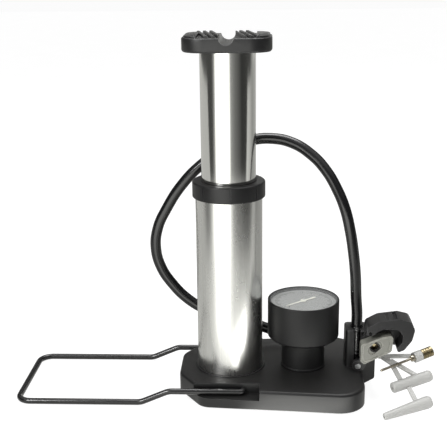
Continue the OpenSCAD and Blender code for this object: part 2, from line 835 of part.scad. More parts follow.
module head_holder() {
    color([0.08, 0.08, 0.09])
    difference() {
        union() {
            // Post with the hose end's slot
            translate([0, 0, base_h])
                linear_extrude(holder_top - base_h)
                    polygon(rounded([[89, -6], [107, -6], [107, 14], [89, 14]], [3, 3, 3, 3]));
            // Lower block that reaches over the end of the base
            slab(-9, 14)
                polygon([[base_right, 4.5], [104, 4.5], [111.5, 9], [111.5, 33], [109, 35.5],
                         [block_x0, 35.5], [block_x0, base_h], [base_right, base_h]]);
            // Peg for the nozzle card
            translate([111, eye[0], eye[1]]) rotate([0, 90, 0]) cylinder(r = peg_r, h = 8.5);
            translate([118.3, eye[0], eye[1]]) rotate([0, 90, 0]) cylinder(r = peg_r + 0.9, h = 1.2);
        }
        translate([hose_end[0], hose_end[1], 0]) disc(ferrule_r + loose, elbow_z + 3, holder_top + 1);
        translate([hose_end[0], hose_end[1], 0]) disc(stem_rod_r + loose, elbow_z - 3, holder_top + 1);
        box([hose_end[0] - stem_rod_r - loose, -7, elbow_z - 3],
            [hose_end[0] + stem_rod_r + loose, hose_end[1], holder_top + 1]);
        for (p = holder_screw_spots)
            translate([p[0], p[1], 0]) disc(1.5 + fit, base_h - 1, base_h + 8);
    }
}

module holder_screws() {
    color([0.7, 0.7, 0.72])
    for (p = holder_screw_spots) translate([p[0], p[1], ceiling - 1.5]) screw(2.8, 1.5, 1.5, 10);
}

// ---------- head ----------

module head_body() {
    color([0.1, 0.1, 0.1])
    difference() {
        union() {
            slab(plate_y0, plate_y1) {
                polygon(rounded(raised([[94, 16.9], [102, 16.9], [107, 27.5], [124, 37.5], [124, 50.5],
                                        [110, 50.5], [100, 44], [99, 25], [94, 25]]),
                                [3.5, 3.5, 3, 2, 2, 3, 3, 0.5, 3.5]));
                translate(lever_at) circle(r = 3.2);
                translate([lever_at[0] - 3.2, lever_at[1] - 8]) square([6.4, 8]);
            }
        }
        rod_y([hose_end[0], elbow_z], stem_rod_r + fit, plate_y0 - 1, plate_y1 + 1);
        rod_y(lever_at, pin_r + slide, plate_y0 - 1, plate_y1 + 1);
    }
}

module chuck_body() {
    color([0.5, 0.5, 0.47])
    difference() {
        slab(chuck_y0, chuck_y1)
            polygon(rounded(raised([[99, 29], [101.5, 26.5], [122, 37], [123, 50], [115, 48.5], [99, 42]]),
                            [1, 1.5, 3, 2.5, 8, 2]));
        // Slanted opening in the face, and the round bore behind it
        translate([mouth[0], chuck_y0 + 2, mouth[1]]) rotate([90, 0, 0]) rotate(45)
            linear_extrude(3) union() {
                square([6.4, mouth_d + 0.4], center = true);
                for (s = [-1, 1]) translate([s * 3.2, 0]) circle(r = mouth_d / 2 + 0.2);
            }
        rod_y(mouth, gasket_bore_r, chuck_y0 + 2 - eps, chuck_y1 + 1);
    }
}

module chuck_gasket() {
    color([0.05, 0.05, 0.05])
    difference() {
        rod_y(mouth, gasket_bore_r - fit, chuck_y0 + 2, chuck_y0 + 6);
        rod_y(mouth, mouth_d / 2, chuck_y0 + 1, chuck_y0 + 7);
    }
}

module chuck_plunger() {
    color([0.8, 0.65, 0.3])
    union() {
        rod_y(mouth, gasket_bore_r - slide, chuck_y1 - 1.5, chuck_y1 - loose);
        rod_y(mouth, 1.1, chuck_y1 - 3.5, chuck_y1 - loose);
    }
}

module head_lever() {
    color([0.12, 0.12, 0.12])
    difference() {
        union() {
            slab(lever_y0, lever_y1) polygon(raised(concat(lever_outer, lever_inner)));
            // Back wall of the hood, behind the head's body
            slab(plate_y1 + loose, lever_y1) polygon(raised(lever_outer));
        }
        rod_y(lever_at, pin_r + slide, lever_y0 - 1, lever_y1 + 1);
        // Slot for the body's ear
        box([lever_at[0] - 8, plate_y0 - loose, lever_at[1] - 6],
            [lever_at[0] + 4.2, plate_y1 + loose, lever_at[1] + 4]);
        // Room for the chuck in front of the ear
        box([lever_at[0] - 8, lever_y0 - 1, lever_at[1] - 8],
            [lever_at[0] + 8, plate_y0 - 3.4, lever_at[1] - 1.2]);
        // Two finger grooves in the top
        for (x = [118, 124])
            translate([x, lever_y0 - 1, 62.6 + head_rise]) cube([2.4, lever_w + 2, 3]);
    }
}

module lever_pin() {
    color([0.7, 0.7, 0.7])
    rod_y(lever_at, pin_r, plate_y0 - 3.2, lever_y1);
}

// ---------- nozzle card ----------

// Places a shape drawn on the card's own plane: x as in the part, y down the slope
module on_card() {
    translate([0, eye[0], eye[1]]) rotate([card_slope, 0, 0]) mirror([0, 1, 0]) children();
}

module arm(a, b, w, t = card_t) {
    v = b - a;
    translate([a[0], a[1], -t / 2]) rotate(atan2(v[1], v[0]))
        translate([0, -w / 2, 0]) cube([norm(v), w, t]);
}

module accessory_card() {
    color([0.92, 0.92, 0.9])
    on_card()
    difference() {
        union() {
            // Eye round the peg
            translate([eye_x0, 0, 0]) rotate([0, 90, 0]) cylinder(r = peg_r + 1.6, h = eye_x1 - eye_x0);
            arm([(eye_x0 + eye_x1) / 2, 0.5], [(eye_x0 + eye_x1) / 2, 7], eye_x1 - eye_x0 - 0.4);
            arm([114.5, 5.3], [141, 4.7], 3);
            arm([116.5, 5.6], [123.5, 12], 3.6);
            arm([122.5, 10.5], [128.6, 29], 3.2);
            arm([122.8, 9.5], [140.4, 23.6], 3);
            // Ring that holds the ball needle
            translate([ring_at[0] - 4 * needle_dir[0], ring_at[1] - 4 * needle_dir[1], needle_lift])
                rotate([0, 90, atan2(needle_dir[1], needle_dir[0])]) cylinder(r = 4.1, h = 6);
        }
        translate([eye_x0 - 1, 0, 0]) rotate([0, 90, 0]) cylinder(r = peg_r + loose, h = 6);
        translate([ring_at[0] - 8 * needle_dir[0], ring_at[1] - 8 * needle_dir[1], needle_lift])
            rotate([0, 90, atan2(needle_dir[1], needle_dir[0])]) cylinder(r = 2.4 + fit, h = 16);
        nozzle_cut(step_a, step_b, 4.3);
            }
}

module nozzle_link() {
    color([0.92, 0.92, 0.9])
    on_card()
    difference() {
        arm([133.2, 33.5], [137.4, 47.5], 3);
        nozzle_cut(step_a, step_b, 4.3);
        nozzle_cut(cone_a, cone_b, 4.3);
    }
}

// Room for a nozzle's body on the card
module nozzle_cut(a, b, r) {
    v = b - a;
    translate([a[0], a[1], 0]) rotate([0, 90, atan2(v[1], v[0])]) cylinder(r = r + fit, h = norm(v));
}

module ball_needle() {
    color([0.75, 0.72, 0.6])
    on_card()
    translate([needle_tip_at[0], needle_tip_at[1], needle_lift])
        rotate([0, 90, atan2(needle_dir[1], needle_dir[0])])
        difference() {
            union() {
                cylinder(r = needle_d / 2, h = 28);
                sphere(r = needle_d / 2);
                translate([0, 0, 26]) cylinder(r = 2.4, h = 9);
            }
            translate([0, 0, 1.5]) cylinder(r = 0.5, h = 40);
            translate([-3, 0, 2]) rotate([0, 90, 0]) cylinder(r = 0.4, h = 6);
        }
}

module needle_plug() {
    color([0.72, 0.58, 0.28])
    on_card()
    translate([needle_tip_at[0], needle_tip_at[1], needle_lift])
        rotate([0, 90, atan2(needle_dir[1], needle_dir[0])])
        translate([0, 0, 35])
        difference() {
            union() {
                for (z = [0, 2, 4]) translate([0, 0, z]) cylinder(r = 3.9, h = 1.5);
                cylinder(r = 3.4, h = 9);
                translate([0, 0, 6.5]) cylinder(r = 3.9, h = 2.5);
            }
            translate([0, 0, -1]) cylinder(r = 0.5, h = 20);
        }
}

module nozzle_stepped() {
    color([0.93, 0.93, 0.91])
    on_card()
    translate([step_a[0], step_a[1], 0])
        rotate([0, 90, atan2((step_b - step_a)[1], (step_b - step_a)[0])])
        rotate_extrude()
            polygon([[1, 0], [3.4, 0], [4, 0.8], [4, 13], [4.3, 13.5], [4.3, 30.5], [3.6, 32.3], [1, 32.3]]);
}

module nozzle_tapered() {
    color([0.93, 0.93, 0.91])
    on_card()
    translate([cone_a[0], cone_a[1], 0])
        rotate([0, 90, atan2((cone_b - cone_a)[1], (cone_b - cone_a)[0])])
        rotate_extrude()
            polygon([[1, 0], [2.2, 0], [2.6, 0.6], [4.6, 34], [4.4, 36.5], [3.6, 37.9], [1, 37.9]]);
}

base_housing();
base_plate();
base_screws();
rubber_feet();
centre_foot();
barrel_gasket();
barrel();
collar();
guide_bush();
tube_wiper();
spring_seat();
check_valve_body();
check_valve_disc();
check_valve_spring();
air_manifold();
piston_tube();
piston();
piston_seal();
return_spring();
tube_plug();
pedal();
pedal_pins();
gauge_neck();
gauge_screws();
gauge_housing();
gauge_stem();
gauge_socket();
bourdon_tube();
movement_frame();
sector_gear();
gauge_spindle();
gauge_dial();
gauge_stop_pin();
gauge_needle();
gauge_lens();
stirrup();
hose_barb();
hose();
hose_ferrule();
head_stem();
head_holder();
holder_screws();
head_body();
chuck_body();
chuck_gasket();
chuck_plunger();
head_lever();
lever_pin();
accessory_card();
ball_needle();
needle_plug();
nozzle_stepped();
nozzle_tapered();
nozzle_link();
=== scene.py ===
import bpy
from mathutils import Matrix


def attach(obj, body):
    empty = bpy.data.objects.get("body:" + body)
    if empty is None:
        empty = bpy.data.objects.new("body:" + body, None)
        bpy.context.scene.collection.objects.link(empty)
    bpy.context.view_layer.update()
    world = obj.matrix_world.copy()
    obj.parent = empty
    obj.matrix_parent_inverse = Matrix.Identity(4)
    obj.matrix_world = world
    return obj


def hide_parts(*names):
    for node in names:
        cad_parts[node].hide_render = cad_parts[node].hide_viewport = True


bl_info = {
    "name": "Small foot pump",
    "version": (1, 0, 0),
    "blender": (4, 5, 0),
    "location": "3D View > Sidebar > Foot Pump",
    "description": "Builds a telescoping foot pump with its gauge, stirrup, hose, head and nozzles",
    "category": "Add Mesh",
}

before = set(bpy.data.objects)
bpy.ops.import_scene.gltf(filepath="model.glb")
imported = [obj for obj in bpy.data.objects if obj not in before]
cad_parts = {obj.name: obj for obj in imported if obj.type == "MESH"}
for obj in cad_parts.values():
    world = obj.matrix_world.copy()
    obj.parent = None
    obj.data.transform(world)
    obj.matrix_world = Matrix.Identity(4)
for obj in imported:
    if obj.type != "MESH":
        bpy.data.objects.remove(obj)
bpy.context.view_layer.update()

import math

import bmesh
import bpy
from mathutils import Matrix, Vector

MM = 0.001


# ---------- settings ----------


class PumpSizes(bpy.types.PropertyGroup):
    """Sizes of the finish that a user may change"""

    edge_round: bpy.props.FloatProperty(
        name="Moulding edge", description="Rounding of the moulded edges",
        default=0.0004, min=0.0, max=0.001, unit="LENGTH")
    base_fillet: bpy.props.FloatProperty(
        name="Base fillet", description="Rounding of the base's top edge",
        default=0.0022, min=0.0005, max=0.003, unit="LENGTH")
    hose_diameter: bpy.props.FloatProperty(
        name="Hose diameter", description="Outside diameter of the hose",
        default=0.0085, min=0.007, max=0.0095, unit="LENGTH")
    wire_diameter: bpy.props.FloatProperty(
        name="Stirrup wire", description="Diameter of the stirrup's wire",
        default=0.0045, min=0.0035, max=0.005, unit="LENGTH")
    round_steps: bpy.props.IntProperty(
        name="Steps round", description="Segments round each turned piece",
        default=144, min=48, max=256)


class PumpColours(bpy.types.PropertyGroup):
    """Colours of the finishes"""

    plastic: bpy.props.FloatVectorProperty(
        name="Black plastic", description="Moulded plastic of the base, gauge and pedal",
        default=(0.007, 0.007, 0.0073), min=0, max=1, subtype="COLOR")
    hood: bpy.props.FloatVectorProperty(
        name="Lever plastic", description="Moulded plastic of the head's lever",
        default=(0.012, 0.012, 0.0125), min=0, max=1, subtype="COLOR")
    chuck: bpy.props.FloatVectorProperty(
        name="Grey plastic", description="Face of the head round the valve's opening",
        default=(0.20, 0.20, 0.175), min=0, max=1, subtype="COLOR")
    aluminium: bpy.props.FloatVectorProperty(
        name="Aluminium", description="Barrel and upper tube",
        default=(0.86, 0.86, 0.835), min=0, max=1, subtype="COLOR")
    dial: bpy.props.FloatVectorProperty(
        name="Dial", description="Face of the gauge",
        default=(0.30, 0.305, 0.295), min=0, max=1, subtype="COLOR")
    nozzle: bpy.props.FloatVectorProperty(
        name="Nozzles", description="Milky plastic of the nozzles and their card",
        default=(0.40, 0.40, 0.385), min=0, max=1, subtype="COLOR")


def sizes():
    return bpy.context.scene.pump_sizes


def colours():
    return bpy.context.scene.pump_colours


# ---------- outlines, in millimetres ----------


def rounded(points, radii, steps=7):
    """The outline with each corner turned into an arc of its own radius"""
    found = []
    count = len(points)
    for i, radius in enumerate(radii):
        a, b, c = (Vector(points[(i + k) % count]) for k in (-1, 0, 1))
        if radius <= 0:
            found.append(b)
            continue
        u, v = (a - b).normalized(), (c - b).normalized()
        half = math.acos(max(-1.0, min(1.0, u.dot(v)))) / 2
        centre = b + (u + v).normalized() * radius / math.sin(half)
        p = b + u * radius / math.tan(half) - centre
        q = b + v * radius / math.tan(half) - centre
        start = math.atan2(p.y, p.x)
        turn = math.atan2(p.x * q.y - p.y * q.x, p.dot(q))
        for k in range(steps + 1):
            angle = start + turn * k / steps
            found.append(centre + radius * Vector((math.cos(angle), math.sin(angle))))
    return found


def inset(points, d):
    """Corners of a convex outline, counter-clockwise, moved inwards"""
    found = []
    for i in range(len(points)):
        a, b, c = (Vector(points[(i + k) % len(points)]) for k in (-1, 0, 1))
        u, v = (b - a).normalized(), (c - b).normalized()
        m, n = Vector((-u.y, u.x)), Vector((-v.y, v.x))
        found.append(b + (m + n) * d / (1 + m.dot(n)))
    return found


def circle(r, count, at=(0, 0)):
    turns = [2 * math.pi * k / count for k in range(count)]
    return [Vector((at[0] + r * math.cos(t), at[1] + r * math.sin(t))) for t in turns]


# ---------- mesh building ----------


def new_object(name, mesh):
    obj = bpy.data.objects.new(name, mesh)
    bpy.context.scene.collection.objects.link(obj)
    return obj


def mesh_object(name, verts, faces):
    mesh = bpy.data.meshes.new(name)
    mesh.from_pydata([tuple(Vector(v) * MM) for v in verts], [], faces)
    bm = bmesh.new()
    bm.from_mesh(mesh)
    bmesh.ops.remove_doubles(bm, verts=bm.verts, dist=1e-7)
    bmesh.ops.recalc_face_normals(bm, faces=bm.faces)
    bm.to_mesh(mesh)
    bm.free()
    return new_object(name, mesh)


def loft(name, rings, cap=True, closed=False):
    """Skin over rings of 3-D points, each with the same count"""
    n, m = len(rings[0]), len(rings)
    verts = [p for ring in rings for p in ring]
    faces = []
    for j in range(m if closed else m - 1):
        k = (j + 1) % m
        faces += [(j * n + i, j * n + (i + 1) % n, k * n + (i + 1) % n, k * n + i)
                  for i in range(n)]
    if cap and not closed:
        faces += [tuple(range(n))[::-1], tuple(range((m - 1) * n, m * n))]
    return mesh_object(name, verts, faces)


def lathe(name, profile, at=(0, 0), steps=None):
    """Turned solid: profile is its closed half section, as (radius, height)"""
    steps = steps or sizes().round_steps
    rings = []
    for k in range(steps):
        t = 2 * math.pi * k / steps
        rings.append([(at[0] + r * math.cos(t), at[1] + r * math.sin(t), z) for r, z in profile])
    return loft(name, rings, closed=True)


def turned(name, points, radii, at=(0, 0), steps=None, arc=4):
    return lathe(name, rounded(points, radii, arc), at, steps)


def stack(name, corners, radii, levels):
    """Rounded convex outline lofted through (height, inset) levels"""
    rings = []
    for z, d in levels:
        line = rounded(inset(corners, d), [max(r - d, 0.05) for r in radii], 10)
        rings.append([(p.x, p.y, z) for p in line])
    return loft(name, rings)


def slab(name, outline, y0, y1):
    """Outline in X and Z carried along Y"""
    return loft(name, [[(p[0], y, p[1]) for p in outline] for y in (y0, y1)])


def block(name, lo, hi):
    outline = [(lo[0], lo[1]), (hi[0], lo[1]), (hi[0], hi[1]), (lo[0], hi[1])]
    return loft(name, [[(p[0], p[1], z) for p in outline] for z in (lo[2], hi[2])])


def rod(name, a, b, r, count=48):
    """Round bar between two points, used to cut bores"""
    a, b = Vector(a), Vector(b)
    turn = (b - a).to_track_quat("Z", "Y").to_matrix()
    ring = [turn @ Vector((p.x, p.y, 0)) for p in circle(r, count)]
    return loft(name, [[a + p for p in ring], [b + p for p in ring]])


def bake(obj):
    """Turns the object's modifiers into its mesh"""
    bpy.context.view_layer.update()
    graph = bpy.context.evaluated_depsgraph_get()
    mesh = bpy.data.meshes.new_from_object(obj.evaluated_get(graph))
    obj.modifiers.clear()
    old, obj.data = obj.data, mesh
    mesh.name = obj.name
    if old.users == 0:
        bpy.data.meshes.remove(old)
    return obj


def combine(obj, *tools, operation="DIFFERENCE"):
    """Cuts the tools from obj, or adds them, and removes them"""
    for tool in tools:
        change = obj.modifiers.new("shape", "BOOLEAN")
        change.object, change.operation, change.solver = tool, operation, "EXACT"
        bake(obj)
        bpy.data.objects.remove(tool)
    bm = bmesh.new()
    bm.from_mesh(obj.data)
    bmesh.ops.remove_doubles(bm, verts=bm.verts, dist=2e-6)
    bmesh.ops.dissolve_degenerate(bm, edges=bm.edges, dist=1e-6)
    bm.to_mesh(obj.data)
    bm.free()
    return obj


def smooth(obj, angle=35):
    mesh = obj.data
    mesh.polygons.foreach_set("use_smooth", [True] * len(mesh.polygons))
    mesh.set_sharp_from_angle(angle=math.radians(angle))
    return obj


def soften(obj, width=None, steps=3, angle=32):
    """Rounds the edges sharper than the angle"""
    edge = obj.modifiers.new("edges", "BEVEL")
    edge.width = sizes().edge_round if width is None else width * MM
    edge.segments = steps
    edge.limit_method = "ANGLE"
    edge.angle_limit = math.radians(angle)
    edge.harden_normals = True
    return smooth(obj)


def bars(name, stacks):
    """Many four-sided bars as one piece, each given as its rings of corners from bottom to top"""
    verts, faces = [], []
    for rings in stacks:
        base, top = len(verts), len(verts) + 4 * (len(rings) - 1)
        verts += [p for ring in rings for p in ring]
        for a in range(base, top, 4):
            faces += [(a + j, a + (j + 1) % 4, a + 4 + (j + 1) % 4, a + 4 + j) for j in range(4)]
        faces += [(base + 3, base + 2, base + 1, base), tuple(top + j for j in range(4))]
    return mesh_object(name, verts, faces)


def bar_ring(half, y0, y1, z, turn, x):
    """Corners of a strip along Y, turned about the origin and then moved along X"""
    corners = ((-half, y0), (half, y0), (half, y1), (-half, y1))
    return [(p.x + x, p.y, z) for p in (turn @ Vector(c) for c in corners)]


def swept(name, points, r, count=20, closed=False):
    """Round bar along a line of points"""
    points = [Vector(p) for p in points]
    n = len(points)
    rings = []
    side = Vector((0, 0, 1))
    for i, p in enumerate(points):
        ahead = points[(i + 1) % n] if closed else points[min(i + 1, n - 1)]
        behind = points[i - 1] if closed or i else points[0]
        along = (ahead - behind).normalized()
        side = (side - along * side.dot(along)).normalized()
        other = along.cross(side)
        rings.append([p + r * (math.cos(t) * side + math.sin(t) * other)
                      for t in (2 * math.pi * k / count for k in range(count))])
    return loft(name, rings, closed=closed)


def bent(points, radii, steps=8):
    """Line of 3-D points with its corners turned into arcs"""
    found = []
    for i, p in enumerate(points):
        p = Vector(p)
        if i in (0, len(points) - 1) or radii[i] <= 0:
            found.append(p)
            continue
        u = (Vector(points[i - 1]) - p).normalized()
        v = (Vector(points[i + 1]) - p).normalized()
        half = math.acos(max(-1.0, min(1.0, u.dot(v)))) / 2
        back = radii[i] / math.tan(half)
        centre = p + (u + v).normalized() * radii[i] / math.sin(half)
        a, b = p + u * back - centre, p + v * back - centre
        for k in range(steps + 1):
            found.append(centre + a.normalized().slerp(b.normalized(), k / steps) * radii[i])
    return found


def place(obj, matrix):
    obj.data.transform(matrix)
    return obj


def finish_piece(obj, body, material, slot, *nodes):
    obj.data.materials.clear()
    obj.data.materials.append(material)
    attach(obj, body)
    if nodes:
        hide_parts(*nodes)
    return obj


# ---------- node helpers ----------


def feed(tree, socket, value):
    """Links an output to the socket, or sets a constant on it"""
    if isinstance(value, bpy.types.NodeSocket):
        tree.links.new(value, socket)
    else:
        socket.default_value = value


def fresh_tree(owner):
    """Empty node tree of a material or world"""
    owner.use_nodes = True
    owner.node_tree.nodes.clear()
    return owner.node_tree


def node(tree, kind, inputs=None, **settings):
    made = tree.nodes.new(kind)
    for key, value in settings.items():
        setattr(made, key, value)
    for key, value in (inputs or {}).items():
        feed(tree, made.inputs[key], value)
    return made


def math_node(tree, operation, a, b=0.0, clamp=False):
    made = tree.nodes.new("ShaderNodeMath")
    made.operation, made.use_clamp = operation, clamp
    for i, value in enumerate((a, b)):
        feed(tree, made.inputs[i], value)
    return made.outputs[0]


def mix_colour(tree, factor, a, b):
    made = tree.nodes.new("ShaderNodeMix")
    made.data_type = "RGBA"
    for key, value in (("Factor_Float", factor), ("A_Color", a), ("B_Color", b)):
        feed(tree, next(s for s in made.inputs if s.identifier == key), value)
    return next(s for s in made.outputs if s.identifier == "Result_Color")


def ramp(tree, value, low, high):
    """0 at low, 1 at high"""
    return node(tree, "ShaderNodeMapRange", {"Value": value, "From Min": low, "From Max": high},
                clamp=True, interpolation_type="SMOOTHSTEP").outputs[0]


def noise(tree, vector, scale, detail=3.0, rough=0.55):
    return node(tree, "ShaderNodeTexNoise",
                {"Vector": vector, "Scale": scale, "Detail": detail, "Roughness": rough}).outputs[0]


def stretched(tree, vector, x, y, z):
    return node(tree, "ShaderNodeMapping", {"Vector": vector, "Scale": (x, y, z)}).outputs[0]


def new_group(name, inputs, outputs):
    group = bpy.data.node_groups.new(name, "ShaderNodeTree")
    for label, kind, default in inputs:
        socket = group.interface.new_socket(name=label, in_out="INPUT", socket_type=kind)
        socket.default_value = default
    for label, kind in outputs:
        group.interface.new_socket(name=label, in_out="OUTPUT", socket_type=kind)
    return group, group.nodes.new("NodeGroupInput"), group.nodes.new("NodeGroupOutput")


FLOAT, RGBA = "NodeSocketFloat", "NodeSocketColor"
SURFACE_OUT = [("Color", RGBA), ("Roughness", FLOAT), ("Height", FLOAT)]


def edge_mask(tree, radius):
    """1 on outer edges, 0 on flat faces"""
    turned_normal = node(tree, "ShaderNodeBevel", {"Radius": radius}, samples=4).outputs[0]
    plain = node(tree, "ShaderNodeNewGeometry").outputs["Normal"]
    dot = node(tree, "ShaderNodeVectorMath", {0: turned_normal, 1: plain},
               operation="DOT_PRODUCT").outputs["Value"]
    return ramp(tree, dot, 0.995, 0.90)


def moulded_group():
    """Moulded plastic: fine grain, cloudy sheen, worn edges, settled dust and a few rubs"""
    group, given, out = new_group(
        "Moulded surface",
        [("Color", RGBA, (0.01, 0.01, 0.01, 1)), ("Worn Color", RGBA, (0.1, 0.1, 0.1, 1)),
         ("Roughness", FLOAT, 0.4), ("Grain Scale", FLOAT, 1500.0), ("Edge Wear", FLOAT, 0.5),
         ("Dust", FLOAT, 0.3), ("Edge Radius", FLOAT, 0.0007)],
        SURFACE_OUT)
    place_at = node(group, "ShaderNodeTexCoord").outputs["Object"]
    grain = noise(group, place_at, given.outputs["Grain Scale"], 2.0)
    cloud = noise(group, place_at, 38.0, 4.0)
    rubs = noise(group, stretched(group, place_at, 60, 900, 240), 1.0, 5.0, 0.7)
    rub_mask = math_node(group, "MULTIPLY", ramp(group, rubs, 0.60, 0.72), ramp(group, cloud, 0.45, 0.65))
    edge = math_node(group, "MULTIPLY", edge_mask(group, given.outputs["Edge Radius"]),
                     given.outputs["Edge Wear"])
    edge = math_node(group, "MULTIPLY", edge, ramp(group, noise(group, place_at, 160.0, 4.0), 0.30, 0.62))
    worn = math_node(group, "MAXIMUM", edge, math_node(group, "MULTIPLY", rub_mask, 0.16), clamp=True)
    facing = node(group, "ShaderNodeSeparateXYZ",
                  {0: node(group, "ShaderNodeNewGeometry").outputs["Normal"]}).outputs["Z"]
    speck = ramp(group, noise(group, place_at, 700.0, 5.0, 0.7), 0.52, 0.72)
    dust = math_node(group, "MULTIPLY", ramp(group, facing, 0.5, 0.95), given.outputs["Dust"])
    dust = math_node(group, "MULTIPLY", dust, math_node(group, "MULTIPLY_ADD", speck, 0.6))
    mixed = mix_colour(group, worn, given.outputs["Color"], given.outputs["Worn Color"])
    mixed = mix_colour(group, math_node(group, "MULTIPLY", dust, 0.25), mixed, (0.25, 0.24, 0.22, 1))
    rough = math_node(group, "ADD", given.outputs["Roughness"],
                      math_node(group, "MULTIPLY", math_node(group, "SUBTRACT", cloud, 0.5), 0.16))
    rough = math_node(group, "ADD", rough, math_node(group, "MULTIPLY", dust, 0.2), clamp=True)
    height = math_node(group, "SUBTRACT", grain, math_node(group, "MULTIPLY", rub_mask, 0.6))
    for name, value in (("Color", mixed), ("Roughness", rough), ("Height", height)):
        group.links.new(value, out.inputs[name])
    return group


def drawn_group():
    """Drawn or turned metal: fine lines along one axis under a light haze"""
    group, given, out = new_group(
        "Drawn surface",
        [("Color", RGBA, (0.8, 0.8, 0.8, 1)), ("Dull Color", RGBA, (0.5, 0.5, 0.5, 1)),
         ("Roughness", FLOAT, 0.2), ("Across", FLOAT, 1400.0), ("Along", FLOAT, 12.0),
         ("Haze", FLOAT, 0.3)],
        SURFACE_OUT)
    place_at = node(group, "ShaderNodeTexCoord").outputs["Object"]
    scale = node(group, "ShaderNodeCombineXYZ",
                 {0: given.outputs["Across"], 1: given.outputs["Across"], 2: given.outputs["Along"]})
    lines_at = node(group, "ShaderNodeVectorMath", {0: place_at, 1: scale.outputs[0]},
                    operation="MULTIPLY").outputs[0]
    lines = noise(group, lines_at, 1.0, 4.0, 0.65)
    haze = noise(group, stretched(group, place_at, 1, 1, 0.35), 45.0, 5.0, 0.6)
    veil = math_node(group, "MULTIPLY", ramp(group, haze, 0.35, 0.75), given.outputs["Haze"])
    mixed = mix_colour(group, veil, given.outputs["Color"], given.outputs["Dull Color"])
    mixed = mix_colour(group, math_node(group, "MULTIPLY", ramp(group, lines, 0.35, 0.7), 0.22), mixed,
                       given.outputs["Dull Color"])
    rough = math_node(group, "ADD", given.outputs["Roughness"],
                      math_node(group, "MULTIPLY", veil, 0.25), clamp=True)
    for name, value in (("Color", mixed), ("Roughness", rough), ("Height", lines)):
        group.links.new(value, out.inputs[name])
    return group


GROUPS = {"moulded": moulded_group, "drawn": drawn_group}
GROUP_NAMES = {"moulded": "Moulded surface", "drawn": "Drawn surface"}


def colour4(value, gain=1.0):
    return tuple(min(1.0, c * gain) for c in value[:3]) + (1.0,)


def surface(name, kind, values, bump=0.1, bump_depth=0.00005, **constants):
    """A Principled material fed by one of the shared groups; constants go on the shader's sockets"""
    if name in bpy.data.materials:
        return bpy.data.materials[name]
    made = bpy.data.materials.new(name)
    tree = fresh_tree(made)
    shared = bpy.data.node_groups.get(GROUP_NAMES[kind]) or GROUPS[kind]()
    group = node(tree, "ShaderNodeGroup", node_tree=shared)
    for key, value in values.items():
        group.inputs[key].default_value = value
    shader = node(tree, "ShaderNodeBsdfPrincipled", constants)
    tree.links.new(group.outputs["Color"], shader.inputs["Base Color"])
    tree.links.new(group.outputs["Roughness"], shader.inputs["Roughness"])
    relief = node(tree, "ShaderNodeBump", {"Strength": bump, "Distance": bump_depth,
                                           "Height": group.outputs["Height"]})
    tree.links.new(relief.outputs[0], shader.inputs["Normal"])
    out = node(tree, "ShaderNodeOutputMaterial")
    tree.links.new(shader.outputs[0], out.inputs["Surface"])
    return made


def moulded(name, colour, worn, rough, grain, wear, dust, bump, **constants):
    return surface(name, "moulded", {"Color": colour, "Worn Color": worn, "Roughness": rough,
                                     "Grain Scale": grain, "Edge Wear": wear, "Dust": dust},
                   bump=bump, **constants)


def drawn(name, colour, dull, rough, across, along, haze, bump):
    return surface(name, "drawn", {"Color": colour, "Dull Color": dull, "Roughness": rough,
                                   "Across": across, "Along": along, "Haze": haze},
                   bump=bump, **{"Metallic": 1.0})


def black_plastic():
    c = colours().plastic
    return moulded("Black moulded plastic", colour4(c), colour4(c, 9), rough=0.40, grain=1900.0,
                   wear=0.6, dust=0.22, bump=0.3, **{"Specular IOR Level": 0.42})


def gauge_plastic():
    c = colours().plastic
    return moulded("Satin gauge plastic", colour4(c, 0.9), colour4(c, 7), rough=0.47, grain=2600.0,
                   wear=0.5, dust=0.15, bump=0.25, **{"Specular IOR Level": 0.30})


def pedal_plastic():
    c = colours().plastic
    return moulded("Scuffed pedal plastic", colour4(c, 1.3), colour4(c, 16), rough=0.42, grain=1500.0,
                   wear=1.0, dust=0.3, bump=0.4, **{"Specular IOR Level": 0.5})


def lever_plastic():
    c = colours().hood
    return moulded("Lever plastic", colour4(c), colour4(c, 8), rough=0.33, grain=1700.0, wear=0.7,
                   dust=0.2, bump=0.3)


def chuck_plastic():
    c = colours().chuck
    return moulded("Grey chuck plastic", colour4(c), colour4(c, 2.6), rough=0.36, grain=1200.0,
                   wear=1.0, dust=0.2, bump=0.25)


def inner_plastic():
    return moulded("Pale inner plastic", (0.55, 0.55, 0.50, 1), (0.7, 0.7, 0.65, 1), rough=0.45,
                   grain=1300.0, wear=0.4, dust=0.2, bump=0.2)


def rubber():
    return moulded("Black rubber", (0.012, 0.012, 0.012, 1), (0.05, 0.05, 0.05, 1), rough=0.62,
                   grain=900.0, wear=0.5, dust=0.7, bump=0.5)


def hose_rubber():
    return moulded("Glossy hose rubber", (0.006, 0.006, 0.0065, 1), (0.03, 0.03, 0.03, 1), rough=0.20,
                   grain=520.0, wear=0.0, dust=0.15, bump=0.18, **{"Specular IOR Level": 0.6})


def wire_paint():
    return moulded("Painted wire", (0.008, 0.008, 0.0085, 1), (0.16, 0.16, 0.16, 1), rough=0.26,
                   grain=800.0, wear=0.25, dust=0.2, bump=0.2,
                   **{"Coat Weight": 0.35, "Coat Roughness": 0.15})


def milky_plastic():
    c = colours().nozzle
    return moulded("Milky nozzle plastic", colour4(c), colour4(c, 1.25), rough=0.38, grain=700.0,
                   wear=0.3, dust=0.1, bump=0.15,
                   **{"Subsurface Weight": 0.35, "Subsurface Scale": 0.002,
                      "Subsurface Radius": (1.0, 1.0, 0.95)})


def dial_paint():
    c = colours().dial
    return moulded("Silver dial paint", colour4(c), colour4(c, 1.25), rough=0.42, grain=2600.0,
                   wear=0.1, dust=0.05, bump=0.1, **{"Metallic": 0.2})


def mark_paint():
    return moulded("Dial marks", (0.05, 0.05, 0.05, 1), (0.1, 0.1, 0.1, 1), rough=0.5, grain=2000.0,
                   wear=0.2, dust=0.0, bump=0.1)


